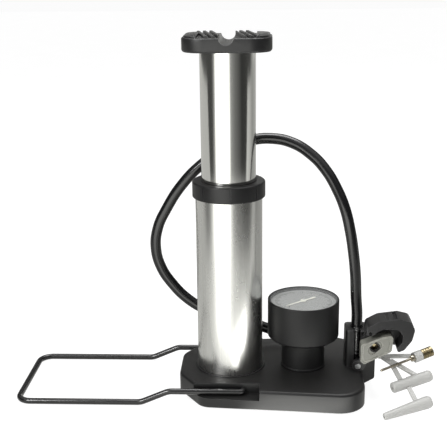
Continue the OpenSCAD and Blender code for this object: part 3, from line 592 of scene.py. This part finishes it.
def needle_paint():
    return moulded("Needle paint", (0.78, 0.77, 0.68, 1), (0.6, 0.58, 0.5, 1), rough=0.35,
                   grain=1800.0, wear=0.3, dust=0.0, bump=0.1)


def clear_lens():
    return moulded("Clear lens", (0.9, 0.92, 0.92, 1), (1, 1, 1, 1), rough=0.06, grain=300.0, wear=0.1,
                   dust=0.2, bump=0.02, **{"Alpha": 0.10, "Specular IOR Level": 0.6})


def barrel_metal():
    c = colours().aluminium
    return drawn("Satin drawn aluminium", colour4(c, 0.96), colour4(c, 0.70), rough=0.26,
                 across=1500.0, along=8.0, haze=0.16, bump=0.10)


def tube_metal():
    c = colours().aluminium
    return drawn("Polished drawn aluminium", colour4(c), colour4(c, 0.78), rough=0.13, across=1700.0,
                 along=6.0, haze=0.10, bump=0.07)


def steel():
    return drawn("Zinc-plated steel", (0.55, 0.56, 0.57, 1), (0.30, 0.30, 0.30, 1), rough=0.28,
                 across=900.0, along=900.0, haze=0.5, bump=0.15)


def nickel():
    return drawn("Nickel-plated needle", (0.56, 0.51, 0.42, 1), (0.28, 0.24, 0.16, 1), rough=0.22,
                 across=1100.0, along=1100.0, haze=0.6, bump=0.1)


def brass():
    return drawn("Turned brass", (0.46, 0.39, 0.25, 1), (0.20, 0.16, 0.08, 1), rough=0.28,
                 across=900.0, along=900.0, haze=0.6, bump=0.15)


def ferrule_metal():
    return drawn("Blackened ferrule", (0.20, 0.20, 0.20, 1), (0.08, 0.08, 0.08, 1), rough=0.25,
                 across=500.0, along=2000.0, haze=0.4, bump=0.2)


# ---------- operators: stage and hose first ----------

CAMERA_AT = (0.02679, -0.65550, 0.31788)
CAMERA_TURNS = (2.71, 90 - 15.95, -0.66)
LENS_MM, SENSOR_MM = 73.13, 36.0
LIGHTS = [
    # name, place, target, size, power, whether it shines back from gloss
    ("key_light", (-0.62, -0.80, 0.78), (0.02, 0.0, 0.12), 0.30, 9.0, True),
    ("fill_light", (0.95, -0.55, 0.55), (0.05, 0.0, 0.10), 0.55, 6.0, False),
    ("top_light", (0.05, 0.30, 1.20), (0.03, 0.0, 0.10), 0.70, 9.0, True),
]
# What glossy pieces see round them, as (turn from straight ahead in degrees, brightness): painted reflections
# that the floor glows to glossy rays only, on the strip at the foot of the base and on the floor near by; the
# far ring is glowed by the floor far off and also lights the world at the horizon
FOOT_PAINTED_REFLECTION = [(-180, 0.55), (-90, 0.50), (-30, 1.0), (5, 1.3), (24, 6.0), (48, 6.5), (62, 0.9), (120, 0.3)]
NEAR_PAINTED_REFLECTION = [(-180, 0.55), (-140, 0.30), (-100, 0.50), (-62, 0.62), (-46, 0.95), (-36, 2.3), (-6, 2.3),
             (8, 0.85), (40, 0.55), (80, 0.48), (110, 0.30), (130, 0.20), (160, 0.42)]
FAR_RING = [(-180, 2.4), (-165, 0.8), (-150, 0.30), (-130, 0.055), (-64, 0.06), (-54, 0.4), (-44, 2.6),
            (2, 2.6), (12, 0.34), (30, 0.17), (46, 0.10), (60, 0.035), (105, 0.05), (135, 0.55), (165, 1.0)]

FOOT_STRIP = (-0.105, -0.092)
NEAR_TO_FAR = (0.42, 0.62)
HORIZON_BLEND = (0.12, 0.18)
WARMTH = 0.96
FLOOR_HALF, FLOOR_DEPTH, FLOOR_TOP = 6000, -20, -0.02


def ring_of_light(tree, turn, stops):
    """Brightness by direction round the object, from -180 to 180 degrees"""
    share = node(tree, "ShaderNodeMapRange", {"Value": turn, "From Min": -math.pi, "From Max": math.pi})
    made = node(tree, "ShaderNodeValToRGB", {"Fac": share.outputs[0]})
    band = made.color_ramp
    while len(band.elements) > 1:
        band.elements.remove(band.elements[0])
    peak = max(v for _, v in stops)
    places = [((a + 180) / 360, v / peak) for a, v in stops] + [(1.0, stops[0][1] / peak)]
    for i, (at, v) in enumerate(places):
        stop = band.elements[0] if i == 0 else band.elements.new(at)
        stop.position = at
        stop.color = (v, v, v * WARMTH, 1)
    return node(tree, "ShaderNodeVectorMath", {0: made.outputs["Color"], 3: peak},
                operation="SCALE").outputs[0]


def turn_of(tree, vector):
    """Turn round +Z, 0 towards -Y and positive towards +X"""
    split = node(tree, "ShaderNodeSeparateXYZ", {0: vector}).outputs
    return math_node(tree, "ARCTAN2", split["X"], math_node(tree, "MULTIPLY", split["Y"], -1.0)), split


def floor_material():
    """Pale floor to the eye; to glossy rays it glows a painted reflection, a ring of brightness that falls
    off round the object
    """
    made = bpy.data.materials.new("Pale floor")
    tree = fresh_tree(made)
    at = node(tree, "ShaderNodeTexCoord").outputs["Object"]
    turn, split = turn_of(tree, at)
    distance = node(tree, "ShaderNodeVectorMath", {0: at}, operation="LENGTH").outputs["Value"]
    # Painted reflection: brightness rings near and far, and a bright strip at the foot of the base, seen by
    # glossy rays only
    ring = mix_colour(tree, ramp(tree, distance, *NEAR_TO_FAR), ring_of_light(tree, turn, NEAR_PAINTED_REFLECTION),
                      ring_of_light(tree, turn, FAR_RING))
    ring = mix_colour(tree, ramp(tree, split["Y"], *FOOT_STRIP), ring,
                      ring_of_light(tree, turn, FOOT_PAINTED_REFLECTION))
    mottle = noise(tree, at, 9.0, 4.0)
    paper = mix_colour(tree, mottle, (0.93, 0.93, 0.93, 1), (0.97, 0.97, 0.97, 1))
    seen = node(tree, "ShaderNodeAddShader")
    tree.links.new(node(tree, "ShaderNodeEmission", {"Color": paper, "Strength": 0.95}).outputs[0],
                   seen.inputs[0])
    tree.links.new(node(tree, "ShaderNodeBsdfDiffuse", {"Color": (0.22, 0.22, 0.22, 1)}).outputs[0],
                   seen.inputs[1])
    # The floor glows the painted reflection to glossy rays only; the camera sees the plain pale floor
    glow = node(tree, "ShaderNodeEmission", {"Color": ring, "Strength": 1.0})
    eye = node(tree, "ShaderNodeLightPath").outputs["Is Glossy Ray"]
    mixed = node(tree, "ShaderNodeMixShader", {0: eye})
    tree.links.new(seen.outputs[0], mixed.inputs[1])
    tree.links.new(glow.outputs[0], mixed.inputs[2])
    out = node(tree, "ShaderNodeOutputMaterial")
    tree.links.new(mixed.outputs[0], out.inputs["Surface"])
    return made


def studio_world():
    world = bpy.data.worlds.new("Studio")
    bpy.context.scene.world = world
    tree = fresh_tree(world)
    look = node(tree, "ShaderNodeTexCoord").outputs["Generated"]
    turn, split = turn_of(tree, look)
    high = node(tree, "ShaderNodeMapRange", {"Value": split["Z"], "From Min": 0.5, "From Max": 1.0,
                                             "To Min": 0.02, "To Max": 0.9}).outputs[0]
    upper = node(tree, "ShaderNodeCombineXYZ", {0: high, 1: high, 2: high}).outputs[0]
    glow = mix_colour(tree, ramp(tree, split["Z"], *HORIZON_BLEND),
                      ring_of_light(tree, turn, FAR_RING), upper)
    shine = node(tree, "ShaderNodeBackground", {"Color": glow, "Strength": 1.0})
    plain = node(tree, "ShaderNodeBackground", {"Color": (0.97, 0.97, 0.97, 1), "Strength": 1.0})
    eye = node(tree, "ShaderNodeLightPath").outputs["Is Camera Ray"]
    mixed = node(tree, "ShaderNodeMixShader", {0: eye})
    tree.links.new(shine.outputs[0], mixed.inputs[1])
    tree.links.new(plain.outputs[0], mixed.inputs[2])
    tree.links.new(mixed.outputs[0], node(tree, "ShaderNodeOutputWorld").inputs["Surface"])


class PUMP_OT_stage(bpy.types.Operator):
    """Pale floor that glows painted reflections to glossy rays, soft studio light and the camera"""

    bl_idname = "pump.stage"
    bl_label = "Stage and camera"

    def execute(self, context):
        scene = context.scene
        camera = bpy.data.cameras.new("camera")
        camera.lens, camera.sensor_width = LENS_MM, SENSOR_MM
        camera.clip_start, camera.clip_end = 0.01, 50
        eye = bpy.data.objects.new("camera", camera)
        scene.collection.objects.link(eye)
        rz, rx, roll = (math.radians(a) for a in CAMERA_TURNS)
        eye.matrix_world = (Matrix.Translation(CAMERA_AT) @ Matrix.Rotation(rz, 4, "Z")
                            @ Matrix.Rotation(rx, 4, "X") @ Matrix.Rotation(roll, 4, "Z"))
        scene.camera = eye
        scene.view_settings.view_transform = "Standard"
        half = FLOOR_HALF
        floor = block("floor", (-half, -half, FLOOR_DEPTH), (half, half, FLOOR_TOP))
        floor.data.materials.append(floor_material())
        for name, at, target, size, power, shines in LIGHTS:
            lamp = bpy.data.lights.new(name, "AREA")
            lamp.size, lamp.energy = size, power
            lit = bpy.data.objects.new(name, lamp)
            scene.collection.objects.link(lit)
            lit.location = at
            lit.visible_glossy = shines
            lit.rotation_euler = (Vector(target) - Vector(at)).to_track_quat("-Z", "Y").to_euler()
        studio_world()
        return {"FINISHED"}


# The hose's route, in metres: out of the barb, round behind the barrel, down into the holder
HOSE_ROUTE = [
    (0.054, 0.033, 0.026), (0.046, 0.033, 0.027), (0.030, 0.033, 0.032), (0.014, 0.033, 0.038),
    (-0.004, 0.033, 0.043), (-0.022, 0.033, 0.049), (-0.036, 0.033, 0.058), (-0.048, 0.033, 0.071),
    (-0.056, 0.033, 0.084), (-0.060, 0.033, 0.100), (-0.058, 0.033, 0.117), (-0.050, 0.033, 0.134),
    (-0.039, 0.033, 0.151), (-0.024, 0.033, 0.167), (-0.005, 0.033, 0.180), (0.014, 0.033, 0.187),
    (0.032, 0.032, 0.189), (0.048, 0.029, 0.186), (0.062, 0.024, 0.178), (0.073, 0.018, 0.167),
    (0.081, 0.013, 0.154), (0.087, 0.008, 0.140), (0.091, 0.005, 0.124), (0.094, 0.004, 0.106),
    (0.096, 0.004, 0.088), (0.097, 0.004, 0.070), (0.098, 0.004, 0.058), (0.098, 0.004, 0.047),
]
HOSE_X, HOSE_Y = 98, 4


class PUMP_OT_hose(bpy.types.Operator):
    """The hose and its ferrule, running from the barb on the base"""

    bl_idname = "pump.hose"
    bl_label = "Hose"

    def execute(self, context):
        line = bpy.data.curves.new("hose_line", "CURVE")
        line.dimensions = "3D"
        line.bevel_depth = sizes().hose_diameter / 2
        line.bevel_resolution = 7
        line.resolution_u = 8
        line.use_fill_caps = True
        spline = line.splines.new("BEZIER")
        spline.bezier_points.add(len(HOSE_ROUTE) - 1)
        for point, at in zip(spline.bezier_points, HOSE_ROUTE):
            point.co = at
            point.handle_left_type = point.handle_right_type = "AUTO"
        hose = new_object("air_hose", line)
        finish_piece(hose, "root", hose_rubber(), "hose", "hose")
        # Crimped sleeve with three swaged rings
        points = [(0.4, 24.0), (4.2, 24.0), (4.6, 24.4), (4.6, 25.3), (4.2, 25.6), (4.2, 26.4), (4.6, 26.7),
                  (4.6, 28.1), (4.25, 28.4), (4.25, 43.6), (4.6, 44.0), (4.6, 45.4), (4.35, 45.7),
                  (4.35, 46.7), (4.25, 47.0), (0.4, 47.0)]
        ferrule = turned("hose_sleeve", points, [0] + [0.15] * 14 + [0], (HOSE_X, HOSE_Y), 64, 2)
        finish_piece(smooth(ferrule), "root", ferrule_metal(), "steel", "hose_ferrule")
        return {"FINISHED"}


# ---------- operators: base, barrel and tubes ----------

BASE_CORNERS = [(-38.5, -18), (-20, -46.3), (101.5, -56), (101.5, 56), (-20, 46.3), (-38.5, 18)]
BASE_RADII = [14, 12, 20, 20, 12, 14]
BASE_Z0, BASE_Z1 = 1.5, 16.5
WALL = 2.5
NOTCH_Y, NOTCH_Z, NOTCH_X = 36.5, 8.8, 23
PIVOT = (11, 11.5)
SOCKET_R = 25.06
# Inner radius, outer radius, foot, top
BARREL = (23.5, 25, 12, 161)
UPPER_TUBE = (18.75, 20.25, 128, 263)


def notch_block(side, margin=0.0):
    y0, y1 = NOTCH_Y - margin, 61
    lo, hi = (-44, y0, NOTCH_Z - margin), (NOTCH_X + margin, y1, 22)
    if side < 0:
        lo, hi = (lo[0], -y1, lo[2]), (hi[0], -y0, hi[2])
    return block("notch", lo, hi)


class PUMP_OT_base(bpy.types.Operator):
    """The base housing with its notches for the stirrup"""

    bl_idname = "pump.base"
    bl_label = "Base"

    def execute(self, context):
        fillet = sizes().base_fillet / MM
        levels = [(BASE_Z0, 0.5), (BASE_Z0 + 0.5, 0.0)]
        for k in range(7):
            t = math.pi / 2 * k / 6
            levels.append((BASE_Z1 - fillet + fillet * math.sin(t), fillet * (1 - math.cos(t))))
        shell = stack("base_shell", BASE_CORNERS, BASE_RADII, levels)
        hollow = stack("hollow", BASE_CORNERS, BASE_RADII, [(0.5, WALL), (13.0, WALL)])
        combine(hollow, notch_block(1, WALL), notch_block(-1, WALL))
        combine(shell, hollow, notch_block(1), notch_block(-1))
        cup = turned("cup", [(SOCKET_R, 8.5), (28.5, 8.5), (28.5, 14), (SOCKET_R, 14)], [0] * 4, steps=96)
        combine(shell, cup, operation="UNION")
        combine(shell, rod("socket", (0, 0, 11), (0, 0, 30), SOCKET_R, 144))
        soften(shell, 0.45)
        finish_piece(shell, "root", black_plastic(), "black_plastic", "base_housing")
        # Low moulded lip round the barrel's socket
        lip = turned("socket_lip", [(25.1, 16.3), (27.0, 16.3), (26.6, 17.3), (25.1, 17.3)],
                     [0, 0, 0.4, 0.2])
        finish_piece(smooth(lip), "root", black_plastic(), "black_plastic")
        return {"FINISHED"}


def sleeve(name, inner, outer, z0, z1):
    return turned(name, [(inner, z0), (outer, z0), (outer, z1), (inner, z1)], [0.3] * 4)


class PUMP_OT_barrel(bpy.types.Operator):
    """The outer barrel, the collar ring and the upper tube"""

    bl_idname = "pump.barrel"
    bl_label = "Barrel and tubes"

    def execute(self, context):
        barrel = sleeve("barrel_sleeve", *BARREL)
        finish_piece(smooth(barrel), "root", barrel_metal(), "barrel_metal", "barrel")
        tube = sleeve("upper_tube", *UPPER_TUBE)
        finish_piece(smooth(tube), "pedal", tube_metal(), "tube_metal", "piston_tube")
        self.collar()
        return {"FINISHED"}

    def collar(self):
        """Screwed ring with short notches for a spanner round its upper part"""
        points = [(25.05, 152), (26.7, 152), (27.2, 152.5), (27.2, 163.2), (26.4, 164), (20.85, 164),
                  (20.85, 163.5), (22.65, 163.5), (22.65, 161), (25.05, 161)]
        ring = turned("collar_ring", points, [0, 0.3, 0.3, 0.6, 0.6, 0.2, 0, 0, 0, 0])
        for i in range(8):
            cutter = block("key", (26.6, -0.6, 153.5), (29, 0.6, 166))
            place(cutter, Matrix.Rotation(math.radians(i * 45 - 86), 4, "Z"))
            combine(ring, cutter)
        soften(ring, 0.15, 2)
        finish_piece(ring, "root", black_plastic(), "black_plastic", "collar")


# ---------- operators: pedal ----------

PEDAL_CORNERS = [(-32, -27), (32, -27), (32, 27), (-32, 27)]
PEDAL_R = [16] * 4
PEDAL_Z0, PEDAL_TOP = 259.0, 269.0
RIB_SLANT, RIB_X0, RIB_PITCH, RIB_REACH = 10, 8.6, 4.8, 29
RIB_LEVELS = ((268, 1.45), (269.3, 1.40), (270.6, 1.15), (271, 0.80))


class PUMP_OT_pedal(bpy.types.Operator):
    """The pedal block with its groove, end pads and slanted grip ribs"""

    bl_idname = "pump.pedal"
    bl_label = "Pedal"

    def execute(self, context):
        body = stack("pedal_block", PEDAL_CORNERS, PEDAL_R,
                     [(PEDAL_Z0, 1.3), (PEDAL_Z0 + 0.5, 0.7), (PEDAL_Z0 + 1.3, 0.15), (PEDAL_Z0 + 1.8, 0),
                      (268.1, 0), (268.6, 0.15), (268.9, 0.5), (PEDAL_TOP, 0.9)])
        pads = stack("pads", PEDAL_CORNERS, PEDAL_R, [(268, 1.5), (269.9, 1.5), (270.25, 1.7), (270.4, 2.1)])
        combine(pads, block("gap", (-21, -30, 260), (21, 30, 280)))
        combine(body, pads, operation="UNION")
        inside = stack("inside", PEDAL_CORNERS, PEDAL_R, [(260, 1.8), (280, 1.8)])
        ribs = self.ribs()
        combine(ribs, inside, operation="INTERSECT")
        combine(body, ribs, operation="UNION")
        combine(body, rod("groove", (0, -60, 269.8), (0, 60, 269.8), 5.5, 64))
        under = stack("under", PEDAL_CORNERS, PEDAL_R, [(255, 3), (262.5, 3)])
        combine(under, rod("boss", (0, 0, 250), (0, 0, 266), 22.75, 96))
        combine(body, under, rod("socket", (0, 0, 250), (0, 0, 263), 20.3, 128))
        soften(body, 0.3)
        finish_piece(body, "pedal", pedal_plastic(), "black_plastic", "pedal")
        return {"FINISHED"}

    def ribs(self):
        """Three long ribs with sloped flanks on each side of the groove, all slanted the same way"""
        turn = Matrix.Rotation(math.radians(RIB_SLANT), 2)
        places = sorted(side * (RIB_X0 + i * RIB_PITCH) for side in (-1, 1) for i in range(3))
        return bars("ribs", [[bar_ring(half, -RIB_REACH, RIB_REACH, z, turn, x) for z, half in RIB_LEVELS]
                             for x in places])


# ---------- operators: gauge ----------

GAUGE_X = 56.5
GAUGE_R = 27.35
DIAL_Z, DIAL_FACE, DIAL_TOP = 67.6, 68.25, 68.4
SWEEP = 260
MARKS, MARK_END = 61, 21.8
BOSS_REACH, BOSS_TURNS = 11.6, (30, 150, 270)


class PUMP_OT_gauge(bpy.types.Operator):
    """The pressure gauge: neck, housing, dial, marks, needle and lens"""

    bl_idname = "pump.gauge"
    bl_label = "Gauge"

    def execute(self, context):
        at = (GAUGE_X, 0)
        case = turned("gauge_case", [
            (3.3, 40.5), (25.85, 40.5), (GAUGE_R, 42.0), (GAUGE_R, 70.4), (26.75, 71), (26.15, 71),
            (26.15, 70.0), (25.15, 70.0), (25.15, DIAL_Z), (23.75, DIAL_Z), (23.75, 43.5), (3.3, 43.5)],
            [0, 0.8, 0.8, 0.4, 0.3, 0.2, 0, 0, 0, 0, 0, 0], at)
        finish_piece(smooth(case), "root", gauge_plastic(), "black_plastic", "gauge_housing")
        neck = turned("gauge_neck_tube", [
            (14.2, 16.5), (17.1, 16.5), (17.1, 18.1), (16.6, 18.5), (16.6, 38.6), (16.2, 39.1), (16.6, 39.6),
            (16.6, 40.5), (14.2, 40.5)], [0, 0.3, 0.3, 0.2, 0.2, 0.2, 0.2, 0, 0], at)
        bosses = [(GAUGE_X + BOSS_REACH * math.cos(t), BOSS_REACH * math.sin(t))
                  for t in (math.radians(turn) for turn in BOSS_TURNS)]
        combine(neck, *[rod("boss", (x, y, BASE_Z1), (x, y, 26.5), 3.0) for x, y in bosses],
                operation="UNION")
        combine(neck, *[rod("screw_hole", (x, y, 15.5), (x, y, 25.5), 1.3) for x, y in bosses])
        finish_piece(smooth(neck), "root", gauge_plastic(), "black_plastic", "gauge_neck")
        dial = turned("dial_face", [(0.9, DIAL_Z), (24.95, DIAL_Z), (24.95, DIAL_TOP - 0.2),
                                    (24.75, DIAL_TOP), (22.2, DIAL_TOP), (21.9, DIAL_FACE), (0.9, DIAL_FACE)],
                      [0, 0, 0.1, 0.1, 0.1, 0.1, 0], at)
        finish_piece(smooth(dial), "root", dial_paint(), "dial", "gauge_dial")
        finish_piece(self.marks(), "root", mark_paint(), "dial")
        finish_piece(self.pointer(), "needle", needle_paint(), "needle", "gauge_needle")
        glass = turned("lens_disc", [(0.001, 70.0), (26.1, 70.0), (26.1, 70.55), (25.7, 70.8),
                                     (0.001, 70.8)], [0, 0.1, 0.2, 0.2, 0], at)
        finish_piece(smooth(glass), "root", clear_lens(), "lens", "gauge_lens")
        return {"FINISHED"}

    def marks(self):
        """Fine raised ticks: thirteen long ones and four short ones between each pair"""
        stacks = []
        for i in range(MARKS):
            r0, half = (18.2, 0.22) if i % 5 == 0 else (20.0, 0.11)
            turn = Matrix.Rotation(math.radians(SWEEP * (0.5 - i / (MARKS - 1))), 2)
            stacks.append([bar_ring(half, r0, MARK_END, z, turn, GAUGE_X)
                           for z in (DIAL_FACE - 0.05, DIAL_FACE + 0.1)])
        return bars("dial_marks", stacks)

    def pointer(self):
        """Tapered pointer with a raised spine and a round hub"""
        rings = []
        low = DIAL_Z + 1.2
        for y, half, rise in ((-12, 1.0, 0.45), (-10.5, 1.1, 0.5), (-3, 0.75, 0.6), (3, 0.7, 0.7),
                              (12, 0.45, 0.6), (17, 0.22, 0.45), (17.5, 0.08, 0.35)):
            rings.append([(-half, y, low), (half, y, low), (half * 0.9, y, low + 0.25), (0, y, low + rise),
                          (-half * 0.9, y, low + 0.25)])
        blade = loft("gauge_pointer", rings)
        z0, z1 = DIAL_Z + 1.0, DIAL_Z + 2.1
        hub = turned("hub", [(0.001, z0), (2.0, z0), (2.2, z0 + 0.2), (2.2, z1 - 0.3), (1.8, z1),
                             (0.001, z1)], [0, 0, 0, 0.15, 0.2, 0], steps=48)
        combine(blade, hub, operation="UNION")
        place(blade, Matrix.Translation((GAUGE_X * MM, 0, 0))
              @ Matrix.Rotation(math.radians(SWEEP / 2), 4, "Z"))
        return smooth(blade)


# ---------- operators: stirrup ----------


class PUMP_OT_stirrup(bpy.types.Operator):
    """The bent wire that the toe holds down"""

    bl_idname = "pump.stirrup"
    bl_label = "Stirrup"

    def execute(self, context):
        right = [(PIVOT[0], 31, PIVOT[1]), (PIVOT[0], 40.5, PIVOT[1]), (-45, 40.5, PIVOT[1]),
                 (-66, 40.5, 2.5), (-160, 40.5, 2.5)]
        left = [(x, -y, z) for x, y, z in reversed(right)]
        line = bent(right + left, [0, 3, 14, 14, 10, 10, 14, 14, 3, 0], 10)
        r = sizes().wire_diameter / MM / 2
        wire = swept("stirrup_wire", line, r, 24)
        finish_piece(soften(wire, 0.3, 2, 60), "stirrup", wire_paint(), "wire_paint", "stirrup")
        return {"FINISHED"}


# ---------- operators: holder and head ----------


class PUMP_OT_holder(bpy.types.Operator):
    """The holder that the head's stem clips into, with its peg"""

    bl_idname = "pump.holder"
    bl_label = "Head holder"

    def execute(self, context):
        corners = [(89, -6), (107, -6), (107, 14), (89, 14)]
        post = stack("head_clip", corners, [3.2] * 4,
                     [(16.5, 0), (45.2, 0), (45.9, 0.2), (46.3, 0.6), (46.5, 1.1)])
        lower = slab("lower", rounded([(101.5, 4.5), (104, 4.5), (111.5, 9), (111.5, 33), (109, 35.5),
                                       (100.8, 35.5), (100.8, 16.5), (101.5, 16.5)],
                                      [0, 0.8, 2, 1.2, 1.2, 0, 0, 0], 5), -9, 14)
        combine(post, lower, operation="UNION")
        combine(post, rod("bore", (HOSE_X, HOSE_Y, 23.5), (HOSE_X, HOSE_Y, 60), 4.9, 64),
                rod("seat", (HOSE_X, HOSE_Y, 17.5), (HOSE_X, HOSE_Y, 60), 2.5, 48),
                block("slot", (HOSE_X - 2.5, -12, 17.5), (HOSE_X + 2.5, HOSE_Y, 60)))
        soften(post, 0.4)
        finish_piece(post, "root", black_plastic(), "black_plastic", "head_holder")
        line = [(1.8, 0), (1.8, 7.3), (2.7, 7.6), (2.7, 8.5), (0.001, 8.5), (0.001, 0)]
        peg = turned("card_peg", line, [0, 0.3, 0.2, 0.3, 0, 0], steps=48)
        place(peg, Matrix.Translation((0.111, -0.0055, 0.030)) @ Matrix.Rotation(math.pi / 2, 4, "Y"))
        finish_piece(smooth(peg), "root", black_plastic(), "black_plastic")
        return {"FINISHED"}


LEVER_OUTER = [(102.6, 50.4), (103, 56.5), (112, 61.5), (127, 63.5), (135.5, 61.5), (138.5, 55),
               (136.5, 46.5), (131, 39), (125.6, 36.5)]
LEVER_INNER = [(125.8, 40.5), (129.3, 45), (129.8, 50.5), (126, 55.3), (115, 55.5), (110.5, 53.5),
               (107.5, 49.6)]
OUTER_ROUND = [0.6, 3, 5, 5, 4, 5, 5, 3, 1.5]
INNER_ROUND = [1, 3, 3, 4, 3, 3, 1]
LEVER_Y0, LEVER_Y1, BACK_Y0 = -24.2, -6.2, -9.2
PIN_X, PIN_Z, PIN_R = 105.5, 52, 1.38
MOUTH = (109.5, 39.6)
PLATE_Y0, PLATE_Y1 = -13, -9.5


class PUMP_OT_head(bpy.types.Operator):
    """The pump head: back plate, grey chuck with its slanted opening, and hooded lever"""

    bl_idname = "pump.head"
    bl_label = "Head"

    def execute(self, context):
        self.plate()
        self.chuck()
        self.lever()
        return {"FINISHED"}

    def plate(self):
        line = rounded([(94, 16.9), (102, 16.9), (107, 27.5), (124, 37.5), (124, 50.5), (110, 50.5),
                        (100, 44), (99, 25), (94, 25)], [3.5, 3.5, 3, 2, 2, 3, 3, 0.5, 3.5], 7)
        plate = slab("head_plate", line, PLATE_Y0, PLATE_Y1)
        ear = rod("ear", (PIN_X, PLATE_Y0, PIN_Z), (PIN_X, PLATE_Y1, PIN_Z), 3.2)
        web = block("web", (102.3, PLATE_Y0, 44), (108.7, PLATE_Y1, 52))
        combine(plate, ear, web, operation="UNION")
        combine(plate, rod("stem", (HOSE_X, -20, 20.5), (HOSE_X, 0, 20.5), 2.25),
                rod("pin", (PIN_X, -20, PIN_Z), (PIN_X, 0, PIN_Z), PIN_R))
        soften(plate, 0.4)
        finish_piece(plate, "root", lever_plastic(), "black_plastic", "head_body")

    def chuck(self):
        line = rounded([(99, 29), (101.5, 26.5), (122, 37), (123, 50), (115, 48.5), (99, 42)],
                       [1, 1.5, 3, 2.5, 8, 2], 7)
        chuck = slab("chuck_block", line, -22.7, PLATE_Y0)
        # Shallow step that leaves a raised rim round the face
        centre = Vector((109.8, 39.2))
        inner = [centre + (Vector(p) - centre) * 0.84 for p in line]
        combine(chuck, slab("step", inner, -30, -22.1))
        long = circle(3.3, 32, (3.2, 0))[24:] + circle(3.3, 32, (3.2, 0))[:9]
        oblong = long + [Vector((-p.x, -p.y)) for p in long]
        turn = Matrix.Rotation(math.radians(45), 2)
        mouth = [turn @ p + Vector(MOUTH) for p in oblong]
        combine(chuck, slab("mouth", mouth, -30, -20.7),
                rod("bore", (MOUTH[0], -21, MOUTH[1]), (MOUTH[0], -10, MOUTH[1]), 4.2, 64))
        soften(chuck, 0.45)
        finish_piece(chuck, "root", chuck_plastic(), "grey_plastic", "chuck_body")

    def lever(self):
        """Hood open to the front, closed behind by a thin wall"""
        hood = rounded(LEVER_OUTER + LEVER_INNER, OUTER_ROUND + INNER_ROUND, 7)
        lever = slab("lever_hood", hood, LEVER_Y0, LEVER_Y1)
        back = slab("back", rounded(LEVER_OUTER, OUTER_ROUND, 7), BACK_Y0, LEVER_Y1)
        combine(lever, back, operation="UNION")
        combine(lever, rod("pin", (PIN_X, -40, PIN_Z), (PIN_X, 0, PIN_Z), PIN_R),
                block("ear", (97.5, -13.3, 46), (109.7, -9.2, 56)),
                block("front", (97.5, -25.2, 44), (113.5, -16.4, 50.8)))
        for x in (116.6, 122.6):
            cut = rounded([(x, 61.9), (x + 3.2, 61.9), (x + 3.2, 66), (x, 66)], [1.2, 1.2, 0, 0], 5)
            combine(lever, slab("grip", cut, -22.2, -8.2))
        soften(lever, 0.8, 4)
        finish_piece(lever, "lever", lever_plastic(), "black_plastic", "head_lever")


# ---------- operators: nozzle card ----------

CARD_NODES = {"accessory_card": milky_plastic, "nozzle_link": milky_plastic,
              "nozzle_stepped": milky_plastic, "nozzle_tapered": milky_plastic,
              "ball_needle": nickel, "needle_plug": brass}


class PUMP_OT_card(bpy.types.Operator):
    """The card of spare nozzles and the ball needle"""

    bl_idname = "pump.card"
    bl_label = "Nozzle card"

    def execute(self, context):
        for name, make in CARD_NODES.items():
            dress(name, make(), 0.35 if make is milky_plastic else 0.15)
        return {"FINISHED"}


def dress(name, material, edge=None):
    """Gives a CAD node its finish, and rounds its edges where edge is set"""
    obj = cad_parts[name]
    obj.data.materials.clear()
    obj.data.materials.append(material)
    if edge:
        soften(obj, edge, 2)
    else:
        smooth(obj)
    return obj


class PUMP_OT_fittings(bpy.types.Operator):
    """Finishes for the pieces whose shape stays as it comes: screws, feet, seals and the works inside"""

    bl_idname = "pump.fittings"
    bl_label = "Fittings"

    def execute(self, context):
        for make, names in (
            (inner_plastic, ("guide_bush", "piston", "air_manifold")),
            (black_plastic, ("base_plate", "tube_plug", "hose_barb")),
            (rubber, ("rubber_feet", "centre_foot", "barrel_gasket", "tube_wiper", "piston_seal",
                      "check_valve_disc", "chuck_gasket")),
            (steel, ("base_screws", "pedal_pins", "gauge_screws", "holder_screws", "lever_pin",
                     "return_spring", "check_valve_spring", "gauge_spindle", "gauge_stop_pin",
                     "spring_seat", "head_stem")),
            (brass, ("check_valve_body", "gauge_stem", "gauge_socket", "bourdon_tube",
                     "movement_frame", "sector_gear", "chuck_plunger")),
        ):
            for name in names:
                dress(name, make())
        return {"FINISHED"}


# ---------- panel, registration and the run ----------

STEPS = (PUMP_OT_stage, PUMP_OT_hose, PUMP_OT_base, PUMP_OT_barrel, PUMP_OT_pedal, PUMP_OT_gauge,
         PUMP_OT_stirrup, PUMP_OT_holder, PUMP_OT_head, PUMP_OT_card, PUMP_OT_fittings)


class PUMP_PT_panel(bpy.types.Panel):
    """Lists the pump's pieces, sizes and colours"""

    bl_label = "Foot Pump"
    bl_idname = "PUMP_PT_panel"
    bl_space_type = "VIEW_3D"
    bl_region_type = "UI"
    bl_category = "Foot Pump"

    def draw(self, context):
        for group in (context.scene.pump_sizes, context.scene.pump_colours):
            box = self.layout.box()
            for key in group.__annotations__:
                box.prop(group, key)
        for step in STEPS:
            self.layout.operator(step.bl_idname)


CLASSES = (PumpSizes, PumpColours, *STEPS, PUMP_PT_panel)


def register():
    for cls in CLASSES:
        bpy.utils.register_class(cls)
    bpy.types.Scene.pump_sizes = bpy.props.PointerProperty(type=PumpSizes)
    bpy.types.Scene.pump_colours = bpy.props.PointerProperty(type=PumpColours)


def unregister():
    del bpy.types.Scene.pump_colours
    del bpy.types.Scene.pump_sizes
    for cls in reversed(CLASSES):
        bpy.utils.unregister_class(cls)


def main():
    register()
    for step in STEPS:
        group, name = step.bl_idname.split(".")
        if getattr(getattr(bpy.ops, group), name)() != {"FINISHED"}:
            raise RuntimeError(f"{step.bl_label} was not built")
    bpy.context.view_layer.update()


if __name__ == "__main__":
    main()
